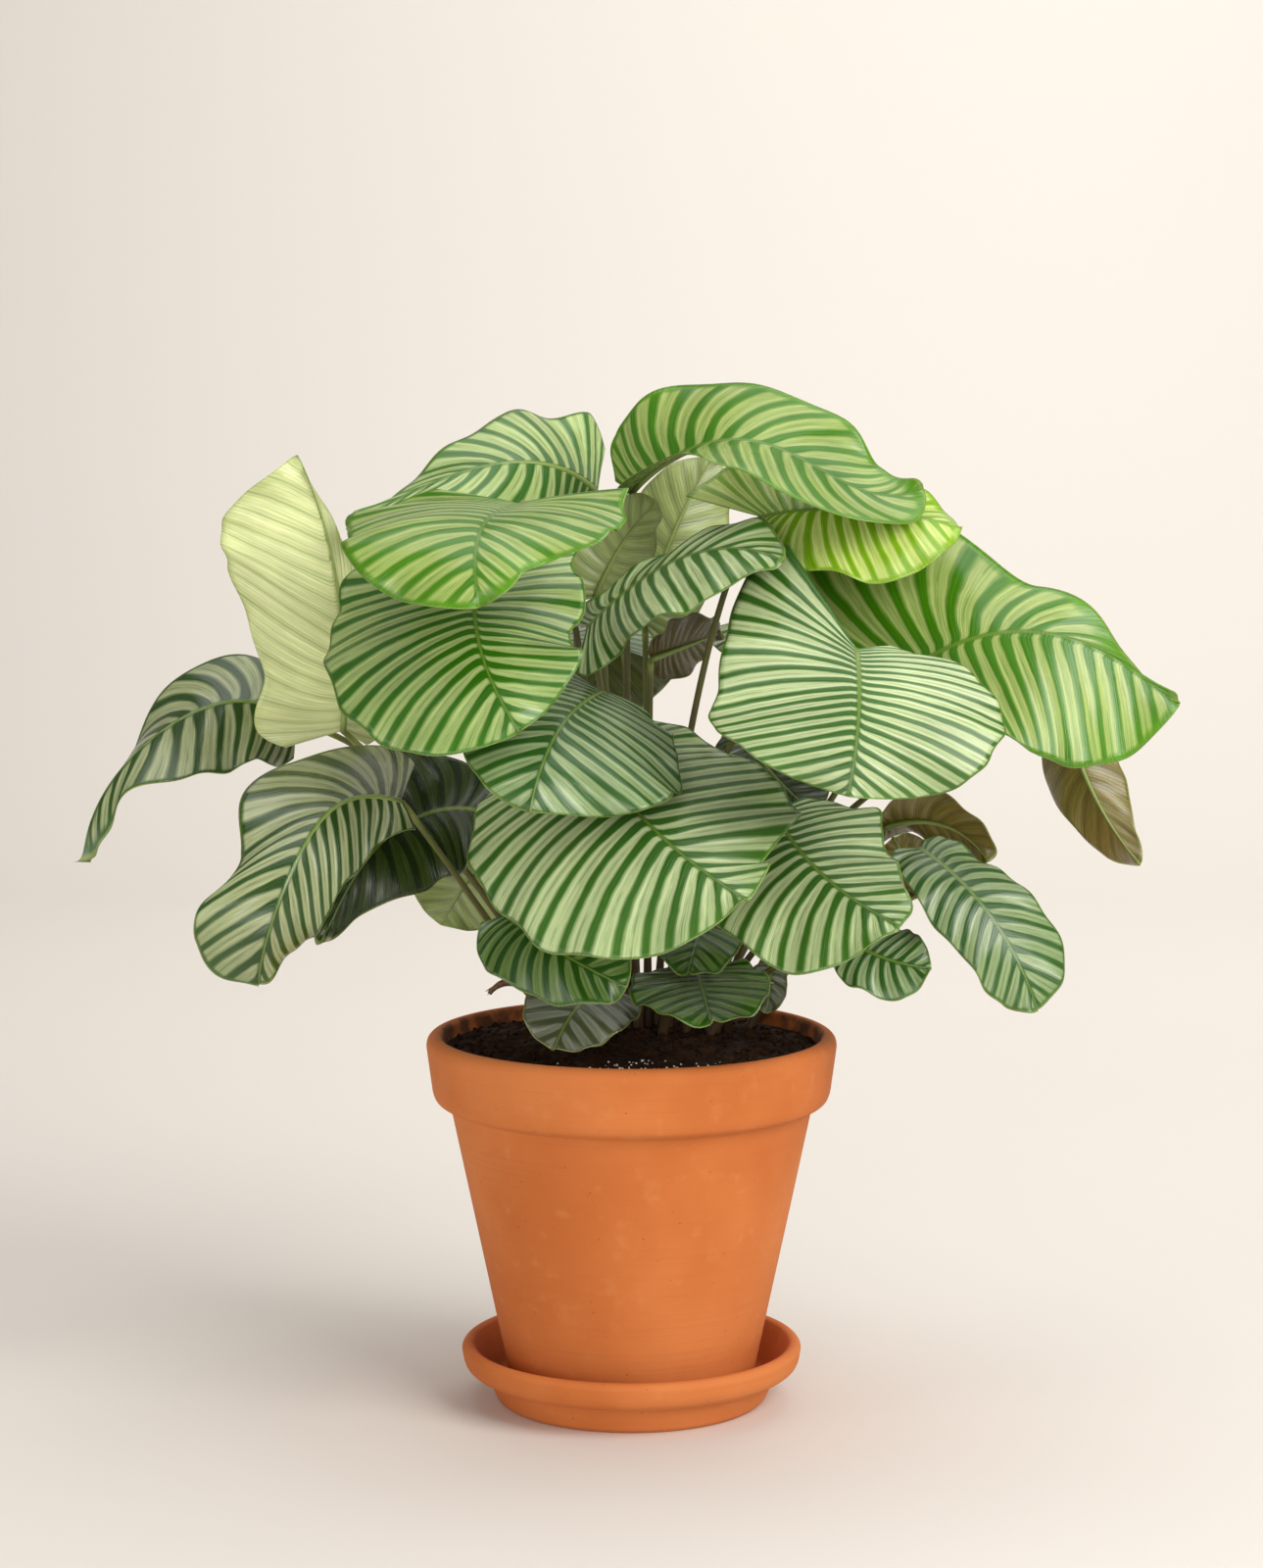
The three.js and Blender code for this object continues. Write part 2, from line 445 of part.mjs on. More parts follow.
// The stalk stands upright in the soil and bends over by way of a point to the blade's base
function stalkPath(leaf) {
  const [x, y] = leaf.foot;
  const base = new THREE.Vector3(...leaf.rib[0]);
  const foot = new THREE.Vector3(x, y, SOIL.edge - STALK_DEPTH);
  const climb = base.z - SOIL.edge;
  const first = new THREE.Vector3(x, y, SOIL.edge + (leaf.rise ?? 0.3) * climb);
  const way = leaf.way ?? [lerp(x, base.x, 0.5), lerp(y, base.y, 0.5), base.z - 0.12 * climb];
  return new THREE.CubicBezierCurve3(foot, first, new THREE.Vector3(...way), base);
}

const stalkSides = (leaf) => (leaf.mesh[1] > 4 ? STALK_SIDES : SMALL_STALK_SIDES);
const stalkRadius = (leaf, t) => lerp(1, 0.75, t) * (leaf.stalk ?? 2.8);

// The points and radii down the stalk, from the soil to the blade
function stalkRings(leaf, count) {
  const curve = stalkPath(leaf);
  const places = Array.from({ length: count + 1 }, (_, i) => i / STALK_STEPS);
  return { points: places.map((t) => curve.getPoint(t)), radii: places.map((t) => stalkRadius(leaf, t)) };
}

function stalkHole(leaf) {
  const { points, radii } = stalkRings(leaf, 2);
  points[0].z -= STALK_CLEARANCE;
  return tube(points, radii.map((r) => r + STALK_CLEARANCE), stalkSides(leaf));
}

// The stalk runs on under the blade as its midrib
function stalkAndRib(leaf, rib) {
  const { points, radii } = stalkRings(leaf, STALK_STEPS);
  const thick = radii.pop();
  points.pop();
  for (let i = 0; i <= RIB_STEPS; i += 1) {
    const share = (RIB_SHARE * i) / RIB_STEPS;
    const { point, normal } = frameAt(leaf, rib, share * rib.length);
    const radius = thick * (1 - (0.65 * i) / RIB_STEPS);
    points.push(point.addScaledVector(normal, -radius));
    radii.push(radius);
  }
  return tube(points, radii, stalkSides(leaf));
}

function leafSolid(leaf) {
  const rib = new Path(leaf.rib);
  const [rows, columns] = leaf.mesh;
  const grid = Array.from({ length: rows + 1 }, (_, i) =>
    Array.from({ length: columns + 1 }, (_, j) => bladePoint(leaf, rib, i / rows, (2 * j) / columns - 1)),
  );
  return thickSheet(grid, BLADE_THICKNESS).add(stalkAndRib(leaf, rib));
}

function stubTube(points, radius) {
  const middle = points.map((p) => new THREE.Vector3(...p));
  return tube(middle, middle.map(() => radius), SMALL_STALK_SIDES);
}

function stubHole() {
  const [foot, knee] = STUB.points;
  return stubTube([[foot[0], foot[1], foot[2] - STALK_CLEARANCE], knee], STUB.radius + STALK_CLEARANCE);
}

// A round solid turned from a profile of [radius, height] points that closes on itself or starts and ends on the axis
function turned(profile) {
  const outline = profile.map(([r, z]) => new THREE.Vector2(r, z));
  const geometry = new THREE.LatheGeometry(outline, ROUND_SIDES);
  geometry.rotateX(Math.PI / 2);
  return solidOfGeometry(geometry);
}

function saucerSolid() {
  const { base, neck, lip, height, lipHeight, floor, wall } = SAUCER;
  const under = height - lipHeight;
  return turned([
    [0, 0], [base - 3, 0], [base, 3], [neck, under - 1], [lip - 9, under - 0.5], [lip - 3.5, under + 3.5],
    [lip - 1.5, under + 8], [lip, height - 4], [lip - 2.5, height - 0.8], [lip - 5.5, height],
    [lip - 8.5, height - 1], [lip - wall, height - 5], [neck - wall + 6, floor + 5], [neck - wall, floor], [0, floor],
  ]);
}

// The pot's body narrows evenly from under the rim to its bottom
const bodyRadius = (z) => {
  const up = (z - POT_BOTTOM) / (POT.top - POT_RIM.height - POT_BOTTOM);
  return lerp(POT.bottomRadius, POT_RIM.radius - 17, up);
};
const innerRadius = (z) => Math.min(bodyRadius(z) - POT.wall, POT_RIM.inner);

function potSolid() {
  const { radius, height, inner } = POT_RIM;
  const { top, drain, floor } = POT;
  const under = top - height;
  const floorTop = POT_BOTTOM + floor;
  return turned([
    [drain, POT_BOTTOM], [bodyRadius(POT_BOTTOM) - 2, POT_BOTTOM], [bodyRadius(POT_BOTTOM + 2), POT_BOTTOM + 2],
    [bodyRadius(under - 2), under - 2], [radius - 12, under - 1], [radius - 6.5, under + 2.5], [radius - 4.5, under + 8],
    [radius, top - 8], [radius - 1, top - 3.5], [radius - 4.5, top - 0.4], [inner + 3, top], [inner + 0.6, top - 2.5],
    [inner, top - 8], [innerRadius(under), under - 4], [innerRadius(floorTop), floorTop], [drain, floorTop],
    [drain, POT_BOTTOM],
  ]);
}

// The soil fills the pot, a little mounded and lumpy, with a plain hole for each stalk
function soilSolid() {
  const floorTop = POT_BOTTOM + POT.floor + REST_GAP;
  const under = POT.top - POT_RIM.height - 4;
  const level = SOIL.edge;
  const profile = [[0, floorTop], [innerRadius(floorTop) - REST_GAP, floorTop], [innerRadius(under) - REST_GAP, under]];
  const edge = POT_RIM.inner - REST_GAP - 1.2;
  for (let k = 0; k < SOIL.rings; k += 1) {
    const share = 1 - k / SOIL.rings;
    profile.push([edge * share, level + SOIL.mound * (1 - share * share)]);
  }
  profile.push([0, level + SOIL.mound]);
  const outline = profile.map(([r, z]) => new THREE.Vector2(r, z));
  const geometry = new THREE.LatheGeometry(outline, ROUND_SIDES);
  geometry.rotateX(Math.PI / 2);
  const place = geometry.getAttribute("position");
  for (let i = 0; i < place.count; i += 1) {
    const [x, y, z] = [place.getX(i), place.getY(i), place.getZ(i)];
    const inside = clamp01((edge - Math.hypot(x, y)) / 20);
    if (z < level) continue;
    const lump = Math.sin(x * 0.11 + 1) * Math.cos(y * 0.13) + 0.6 * Math.sin(x * 0.23 - y * 0.19);
    place.setZ(i, z + SOIL.roughness * inside * lump);
  }
  let soil = solidOfGeometry(geometry).subtract(stubHole());
  for (const leaf of LEAVES) soil = soil.subtract(stalkHole(leaf));
  return soil;
}

const plant = new THREE.Group();
plant.add(meshOf("saucer", saucerSolid(), CLAY));
plant.add(meshOf("pot", potSolid(), CLAY));
plant.add(meshOf("soil", soilSolid(), EARTH));
plant.add(meshOf("broken_stalk", stubTube(STUB.points, STUB.radius), BROWN));
for (const leaf of LEAVES) plant.add(meshOf(leaf.name, leafSolid(leaf), GREEN));

export default plant;
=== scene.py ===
"""A potted Calathea orbifolia in a pale studio: striped leaves on thin stalks, soil, clay pot and saucer."""
import math

import bpy
import numpy as np
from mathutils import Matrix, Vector


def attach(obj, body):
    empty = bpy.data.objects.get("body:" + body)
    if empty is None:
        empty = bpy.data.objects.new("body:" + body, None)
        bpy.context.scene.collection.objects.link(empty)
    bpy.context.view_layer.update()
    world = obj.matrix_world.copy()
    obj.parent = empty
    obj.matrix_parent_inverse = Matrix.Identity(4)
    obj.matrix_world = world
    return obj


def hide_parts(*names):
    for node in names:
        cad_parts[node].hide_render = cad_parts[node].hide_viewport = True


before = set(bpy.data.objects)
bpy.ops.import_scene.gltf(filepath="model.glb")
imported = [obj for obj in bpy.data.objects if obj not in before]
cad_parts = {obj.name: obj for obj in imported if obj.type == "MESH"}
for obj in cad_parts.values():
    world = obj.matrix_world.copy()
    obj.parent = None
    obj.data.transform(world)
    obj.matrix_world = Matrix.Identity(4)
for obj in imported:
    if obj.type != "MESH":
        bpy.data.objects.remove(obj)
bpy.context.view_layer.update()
rng = np.random.default_rng(7)

MM = 0.001
TINY = 1e-6

# The photograph's view
CAMERA_LENS = 80
SENSOR = 36
CAMERA_PLACE = (0, -2.512, 0.728)
CAMERA_PITCH = math.radians(6.22)

# The leaves, in millimetres and degrees, shaped as in the solids. foot is where the stalk leaves the soil,
# way is a point it bends towards, rib is a line from the blade's base to its tip, and face is where the
# upper side looks, at the base and the tip if they differ. left and right, or both, give a half's angle at
# the rib and its turn by the margin, at the base and the tip. reach is each half's width from base to tip,
# and look is a palette and the number of bands in each half.
EVEN = (1, 1, 1, 1, 1)
LEAVES = dict(
    upright_left=dict(
        foot=(-38, 44), way=(-144, 12, 432), rise=0.06, width=176, widest=0.64, wave=(4, 3, 0.1),
        rib=((-209, 0, 493), (-211, -10, 597), (-222, -15, 650), (-238, -20, 692)),
        face=((-0.2, 0.95, 0.1), (-0.1, 1, 0.1)), left=(35, 20, 60, 20), right=(0, 10),
        reach=((1, 0.95, 0.22, 0.02, 0.02), (1.6, 0.78, 0.84, 1.08, 1)), look=("backlit", 17)),
    far_left=dict(
        foot=(-46, 56), width=145, wave=(5, 2.5, 0.3),
        rib=((-249, 50, 496), (-314, 20, 507), (-357, 0, 479), (-383, -20, 444), (-394, -30, 401)),
        face=((0, -0.8, 0.6), (-0.9, -0.2, 0.35)), left=(-10, -10, -50, -10), right=(0, 0, -30, -10),
        reach=((1, 0.75, 0.6, 0.3, 0.3), (1.3, 0.7, 0.55, 0.7, 0.8)), look=("silver", 15)),
    low_left=dict(
        foot=(-44, 28), way=(-138, -72, 416), rise=0.06, width=135, widest=0.55, wave=(5, 2.5, 0.6),
        rib=((-160, -110, 455), (-194, -130, 458), (-222, -175, 430), (-245, -200, 370), (-252, -185, 338)),
        face=((0.1, -0.6, 0.8), (0.3, -0.9, 0.25)), left=(-35, -15, -30, -10), right=(-15, -10),
        reach=((0.8, 0.7, 0.65, 0.8, 1), (3.2, 1.2, 0.55, 1.05, 1.7)), look=("silver", 16)),
    front_left=dict(
        foot=(-22, 26), width=205, lobe=0.3, wave=(4, 2.5, 0.2),
        rib=((-110, -105, 610), (-106, -150, 582), (-97, -190, 553), (-74, -215, 512)),
        face=((-0.1, -0.5, 0.85), (-0.1, -0.85, 0.5)), left=(-5, -10), right=(-5, -20),
        reach=((1.5, 0.85, 0.62, 0.8, 1), (1.8, 1.2, 1.02, 1, 1)), look=("deep", 18)),
    top_left_front=dict(
        foot=(-14, 44), way=(-38, -16, 668), width=200, wave=(5, 3, 0.4),
        rib=((-77, -110, 660), (-91, -150, 655), (-101, -190, 642), (-103, -215, 621), (-100, -224, 595)),
        face=((0.05, -0.13, 1), (0, -0.9, 0.5)), left=(18, -25, 5, -15), right=(4, -35, 0, -30),
        reach=((1.5, 1, 0.85, 0.5, 0.5), (2.2, 1.3, 1, 1, 1)), look=("lime", 17)),
    top_left_back=dict(
        foot=(-16, 54), width=150, wave=(4, 2.5, 0.1),
        rib=((-25, 72, 665), (-62, 41, 685), (-120, 5, 680), (-203, -30, 640)),
        face=((0, -0.6, 0.8), (0, -0.2, 1)), left=(-60, 0, 10, 0), right=(5, 0, 0, 0),
        reach=((1.5, 1.1, 0.4, 0.3, 0.3), (2.6, 1.15, 0.5, 0.2, 0.2)), look=("deep", 17)),
    top_right=dict(
        foot=(-2, 52), way=(-6, 8, 600), width=170, lobe=0.11, wave=(4, 2.5, 0.5),
        rib=((0, -20, 667), (38, -45, 695), (74, -60, 703), (122, -82, 688), (202, -95, 670)),
        face=((-0.3, -0.8, 0.5), (0.1, -0.6, 0.8)), left=(0, 0), right=(60, 10, 5, 0),
        reach=((0.95, 0.8, 0.56, 0.6, 0.6), (0.5, 0.45, 0.8, 0.9, 0.8)), look=("lime", 18)),
    top_right_under=dict(
        foot=(18, 44), width=150, lobe=0.5, wave=(4, 2.5, 0.2),
        rib=((90, -70, 650), (150, -92, 656), (228, -104, 643)), face=((0, -0.6, 0.8), (0.1, -0.6, 0.8)),
        left=(0, 0, -20, 0), right=(-10, 0), reach=((2, 1.1, 0.75, 0.7, 0.8), (1.6, 0.8, 0.84, 1, 1)),
        look=("painted_lit", 17)),
    centre_high=dict(
        foot=(-4, 32), width=120, lobe=0.14, wave=(4, 2.5, 0.2),
        rib=((-31, -75, 573), (4, -95, 605), (50, -123, 628), (103, -150, 623)),
        face=((-0.1, -0.5, 0.85), (0, -0.5, 0.85)), left=(0, 0), right=(-10, -10),
        reach=((1.5, 0.35, 0.5, 0.8, 0.8), (1.5, 0.8, 0.9, 1, 1)), look=("cool", 16)),
    front_right=dict(
        foot=(26, 26), way=(45, -85, 540), width=200, lobe=0.08, right_lobe=1, wave=(4, 2.5, 0.3),
        rib=((150, -196, 566), (150, -224, 530), (142, -240, 472)), face=((0, -0.6, 0.8), (0, -0.95, 0.2)),
        both=(-5, -20, -5, -10), reach=((0.9, 1, 1, 1, 1), (1.3, 1, 1, 1, 1)), look=("cool", 20)),
    right=dict(
        foot=(52, 36), way=(172, -46, 480), rise=0.2, width=185, wave=(4, 3, 0.1),
        rib=((180, -105, 530), (230, -115, 566), (300, -118, 568), (340, -111, 549), (380, -100, 521)),
        face=((0, -0.85, 0.5), (0.1, -0.85, 0.5)), left=(-5, -10), right=(0, -5),
        reach=((2.6, 1.75, 0.45, 0.08, 0.2), (0.8, 0.64, 0.96, 1.25, 1.3)), look=("lime", 19)),
    far_right=dict(
        foot=(48, 52), width=78, wave=(5, 2, 0.2), rib=((315, 20, 515), (330, 10, 460), (370, 0, 395)),
        face=((0, 1, 0.2), (0, 1, 0.1)), left=(40, 10), right=(10, 10),
        reach=((1, 0.9, 1, 0.9, 0.8), (1, 0.9, 0.7, 0.5, 0.5)), look=("olive", 12)),
    centre=dict(
        foot=(-12, 16), width=180, wave=(4, 2.5, 0.2),
        rib=((-19, -90, 529), (-37, -130, 521), (-58, -185, 492), (-68, -205, 458)),
        face=((0.1, -0.5, 0.85), (0.1, -0.8, 0.6)), both=(-5, -10),
        reach=((0.9, 0.88, 1, 1.2, 1), (1.4, 0.85, 0.75, 0.8, 1)), look=("painted_dim", 16)),
    front_centre=dict(
        foot=(6, 18), width=225, wave=(3, 2.5, 0.7), rib=((-30, -90, 490), (25, -190, 435), (75, -250, 405)),
        face=((-0.2, -0.45, 0.85), (-0.25, -0.6, 0.75)), left=(-5, -10), right=(-5, -15),
        reach=((1, 0.86, 0.86, 1, 1), (1.4, 1.1, 1.02, 1, 1)), left_tear=(0.8, 0.1, 0.5),
        look=("cool", 19)),
    low_right_front=dict(
        foot=(58, 12), way=(118, -46, 405), width=165, wave=(4, 2.5, 0.1),
        rib=((100, -100, 445), (135, -160, 405), (180, -200, 380)), face=((-0.1, -0.6, 0.8), (0, -0.7, 0.7)),
        left=(-5, -10), right=(-5, -15), reach=((1, 0.95, 0.7, 0.6, 1), (1, 0.95, 0.95, 1, 1)),
        look=("cool", 17)),
    low_right=dict(
        foot=(52, 22), width=100, wave=(3, 3, 0.4), rib=((205, -60, 415), (245, -90, 380), (285, -100, 305)),
        face=((0.3, -0.6, 0.6), (0.3, -0.9, 0.3)), left=(-5, -10), right=(-5, -15),
        reach=((1, 0.8, 0.85, 1.15, 1), (1, 0.8, 0.72, 0.8, 1)), look=("painted_dim", 16)),
    low_right_back=dict(
        foot=(56, 42), width=56, wave=(4, 2, 0.4), rib=((185, 10, 422), (222, 0, 426), (258, -20, 400)),
        face=(0, 0.8, 0.6), reach=((1, 0.6, 0.7, 0.8, 1), EVEN), look=("olive", 11)),
    low_right_small=dict(
        foot=(50, 4), way=(110, -46, 345), width=60, wave=(3, 2, 0.4),
        rib=((155, -70, 350), (180, -90, 340), (210, -100, 335)), face=((0, -0.7, 0.7), (0, -0.8, 0.6)),
        left=(0, 0), right=(-10, -10), look=("painted_dim", 11)),
    low_front_left=dict(
        foot=(-32, 10), width=110, rib=((-88, -110, 375), (-48, -140, 352), (-3, -150, 330)),
        face=((-0.1, -0.7, 0.7), (0, -0.8, 0.6)), left=(0, 0), right=(-10, -20, -10, -10),
        reach=(EVEN, (1, 0.8, 0.65, 0.6, 1)), look=("low", 13)),
    low_front=dict(
        foot=(20, 8), width=100, rib=((45, -60, 330), (50, -110, 320), (55, -150, 305)),
        face=(0, -0.5, 0.85), look=("low", 13)),
    low_front_behind=dict(
        foot=(40, 20), width=70, rib=((57, -25, 372), (47, -65, 352), (39, -95, 330)),
        face=((0, -0.5, 0.85), (0, -0.6, 0.75)), look=("low", 13)),
    on_soil=dict(
        foot=(-14, 0), width=80, wave=(2, 2.5, 0.4),
        rib=((-14, -60, 315), (-36, -90, 308), (-54, -115, 280)), face=((0, -0.5, 0.85), (0, -0.6, 0.75)),
        look=("dry", 10)),
    short_right=dict(
        foot=(66, 28), width=26, wave=(1, 2, 0.4), rib=((100, -10, 325), (100, -20, 310), (97, -25, 290)),
        face=((0, -0.7, 0.7), (0, -1, 0.2)), look=("dry", 8)),
    low_left_behind=dict(
        foot=(-34, 52), width=100, widest=0.36, wave=(4, 2.5, 0.4),
        rib=((-109, -20, 437), (-144, -30, 437), (-172, -50, 423), (-198, -80, 392), (-217, -110, 354)),
        face=((0, -0.75, 0.65), (0.4, -0.85, 0.3)), left=(0, 0, -20, -20), right=(0, 10, 30, 40),
        reach=((1, 1.15, 0.95, 0.5, 0.3), EVEN)),
    low_left_under=dict(
        foot=(-54, 50), width=80, rib=((-105, 38, 400), (-120, 42, 380), (-140, 38, 345)),
        face=(0.2, 0.9, 0.3), look=("young", 11)),
    back_left_high=dict(
        foot=(-32, 68), width=80, wave=(3, 2, 0.4), rib=((-48, 84, 636), (-90, 88, 652), (-148, 72, 640)),
        face=(0, -0.3, 0.95), look=("olive", 13)),
    upright_centre=dict(
        foot=(12, 58), width=84, wave=(4, 2, 0.4), rib=((10, 52, 565), (30, 70, 630), (62, 95, 690)),
        face=((0.2, 0.9, 0.3), (0.2, 0.9, 0.1)), both=(20, 0), look=("young", 13)),
    upright_small=dict(
        foot=(-8, 40), width=60, wave=(2, 2, 0.4), rib=((-26, -45, 592), (-8, -40, 628), (18, -32, 660)),
        face=(-0.3, 0.9, 0.3), both=(10, 0), look=("young", 10)),
    right_inner=dict(
        foot=(30, 50), width=100, wave=(3, 2, 0.4), rib=((100, -10, 555), (145, 10, 590), (190, 40, 600)),
        face=(0, 0.7, 0.7)),
    centre_inner=dict(
        foot=(12, 40), width=60, wave=(2, 2, 0.4), rib=((14, 12, 545), (36, 22, 552), (66, 37, 562)),
        face=(0.2, 0.75, 0.6)),
    low_right_inner=dict(
        foot=(28, 40), width=84, wave=(3, 2, 0.4), rib=((80, -30, 492), (102, -48, 465), (130, -67, 440)),
        face=(0, -0.6, 0.8)),
    rear_left=dict(
        foot=(-24, 82), width=135, wave=(4, 2.5, 0.3),
        rib=((-88, 92, 545), (-140, 150, 565), (-185, 205, 515)), face=((0, 0.2, 1), (-0.4, 0.5, 0.7)),
        both=(-5, -20), look=("deep", 16)),
    rear_centre=dict(
        foot=(4, 76), width=122, wave=(4, 2.5, 0.3), rib=((-6, 98, 545), (-14, 165, 560), (-22, 215, 480)),
        face=((0, 0.1, 1), (0, 0.7, 0.7)), both=(-5, -20), look=("painted_dim", 16)),
    rear_right=dict(
        foot=(46, 70), way=(68, 76, 480), width=170, wave=(4, 2.5, 0.3),
        rib=((90, 80, 560), (150, 140, 590), (210, 195, 555)), face=((0, 0.1, 1), (0.4, 0.5, 0.7)),
        both=(-5, -20), look=("cool", 17)),
    rear_low_left=dict(
        foot=(-42, 68), width=100, wave=(3, 2.5, 0.3),
        rib=((-65, 85, 400), (-105, 125, 420), (-140, 165, 385)), face=((0, 0.1, 1), (-0.4, 0.5, 0.7)),
        both=(-5, -20), look=("cool", 15)),
    rear_low_centre=dict(
        foot=(-6, 94), width=130, wave=(3, 2.5, 0.3), rib=((0, 115, 400), (0, 175, 420), (0, 235, 370)),
        face=((0, 0.1, 1), (0, 0.7, 0.7)), both=(-5, -20), look=("deep", 16)),
    rear_low_right=dict(
        foot=(68, 58), width=130, wave=(3, 2.5, 0.3), rib=((70, 80, 420), (110, 125, 440), (150, 165, 400)),
        face=((0, 0.1, 1), (0.4, 0.5, 0.7)), both=(-5, -20), look=("cool", 16)),
    low_right_narrow=dict(
        foot=(82, 40), way=(168, 14, 352), rise=0.5, width=44, wave=(2, 2, 0.2),
        rib=((212, 4, 374), (203, 0, 392), (190, -5, 416)), face=((0.1, 1, 0.2), (0.1, 1, 0.1)),
        both=(10, 20), look=("olive", 10)),
)

# Stalks and midribs, in millimetres
SOIL_EDGE = 261
STALK_DEPTH = 30
STALK_RADIUS = 2.8
STALK_SLIMMING = 0.75
STALK_SIDES = 12
STALK_STEPS = 48
STALK_RISE = 0.3
WAY_DROP = 0.12
SHEATH_HEIGHT = 75
SHEATH_SWELL = 1.1
KNEE_BELOW = 14
KNEE_SPAN = 9
KNEE_SWELL = 0.45
RIB_STEPS = 24
RIB_END = 0.94
RIB_TIP_RADIUS = 0.25
RIB_SINK = 0.8
PATH_STEPS = 120

# What a leaf has unless its row says otherwise
WIDEST_AT = 0.43
LOBE = 0.09
WAVE = (3, 2.5, 0.4)
FLAT = (0, 0)
NO_TEAR = (0, 1, 0)
SHADED = ("shaded", 15)

# The flat blade: how its side veins start and sweep forward, its notch, how round it is, and its tip
VEIN_START = (0.02, 0.98, 1.55)
VEIN_SWEEP = (0.12, 1.2)
NOTCH_ANGLE = 0.24
ROUNDNESS = (0.85, 1.05)
TAPER = (0.3, 0.82, 0.18)
TIP_HALF_WIDTH = 0.012

# The blade's thickness and unevenness in millimetres, and the waves along it
BLADE_THICKNESS = 0.7
EDGE_SHARE = 0.5
LEFT_SHIFT = 0.37
SCALLOP_DEPTH = 0.02
SCALLOP_WAVES = (3.1, 7.3)
RIPPLE = 1.7
RIPPLE_WAVES = 2.3
FLUTTER = 1.0
FLUTTER_WAVES = (0.36, 1.7)
PLEAT = 0.35
PLEAT_FADE = 0.7
PLEAT_LEAD = (0.25, 0.06)
LARGE_WIDTH = 110
LARGE_GRID = (148, 39)
SMALL_GRID = (100, 31)

# The clay and the soil, in millimetres
REST_GAP = 0.3
POT = dict(foot=9.3, under_rim=222, top=272, bottom=88, neck=133, rim=150, inner=138, wall=11, floor=12)
DRAIN = 14
POT_BEVEL = 2
POT_SHOULDER = 4
POT_ROUNDING = 3.5
SAUCER = dict(base=100, neck=107, lip=125, height=43, lip_height=21, floor=9, wall=11)
SAUCER_BEVEL = 3
SAUCER_ROUNDING = 2.5
# The rims' corners, outwards and up from the edges that they round off
POT_RIM_LOW = ((-12, -1), (-6.5, 2.5), (-4.5, 8))
POT_RIM_TOP = ((0, -8), (-1, -3.5), (-4.5, -0.4))
POT_MOUTH = ((3, 0), (0.6, -2.5), (0, -8))
SAUCER_LIP_LOW = ((-9, -0.5), (-3.5, 3.5), (-1.5, 8))
SAUCER_LIP_TOP = ((0, -4), (-2.5, -0.8), (-5.5, 0), (-8.5, -1))
CLAY_UNEVEN = 0.0006
ROUNDING_STEPS = 5
TURNED_SIDES = 220
TURNED_STEP = 6
SOIL = dict(edge=136.5, mound=9, lumps=2.2, calm_edge=20, rings=110, sides=260)
FINE_LUMPS = ((9.0, 1.1), (4.7, 0.8), (2.6, 0.55))
LOOSE_EDGE = 133.5
BEDDED = 0.25
SOIL_CRUMBS = dict(count=1100, sizes=(0.5, 2.4), roughness=0.35)
WHITE_GRAINS = dict(count=150, sizes=(0.45, 1.2), roughness=0.25)
GRAINS_AT = (14, -112)
GRAINS_SPREAD = (34, 13)
STUB = dict(radius=2.5, sides=12, steps=36)
STUB_POINTS = ((-62, -16, 231), (-65, -18, 288), (-90, -20, 312), (-103, -22, 304))
FIBRES = dict(count=7, start=4, lean=0.16, fan=5, reach=(3, 6), radii=(0.7, 0.45, 0.12), sides=5)

# The studio, in metres and watts: the backdrop, and each light's place, target, size, power and colour
STUDIO = dict(front=6.0, back=4.4, bend=1.8, top=6.0, width=14.0, bend_steps=24)
LIGHTS = {
    "key_light": ((2.3, -2.0, 2.2), (0, 0, 0.4), (2.4, 2.2), 112, (1, 0.972, 0.935)),
    "top_light": ((0.3, 0.2, 3.2), (0, 0, 0.3), (2.8, 2.8), 50, (1, 0.98, 0.95)),
    "front_light": ((-0.9, -4.3, 0.95), (0, 0, 0.45), (2.2, 1.6), 46, (1, 0.97, 0.94)),
    "left_light": ((-2.6, -1.7, 0.9), (-0.2, 0, 0.2), (2.0, 1.4), 18, (1, 0.96, 0.92)),
    "wall_light": ((1.0, 1.9, 3.0), (0.9, 4.4, 1.2), (2.6, 1.2), 62, (1, 0.975, 0.945)),
}
AIR_COLOUR = (1, 0.965, 0.93, 1)
AIR_STRENGTH = 0.26
PAST_BACKDROP = (0.80, 0.75, 0.69, 1)

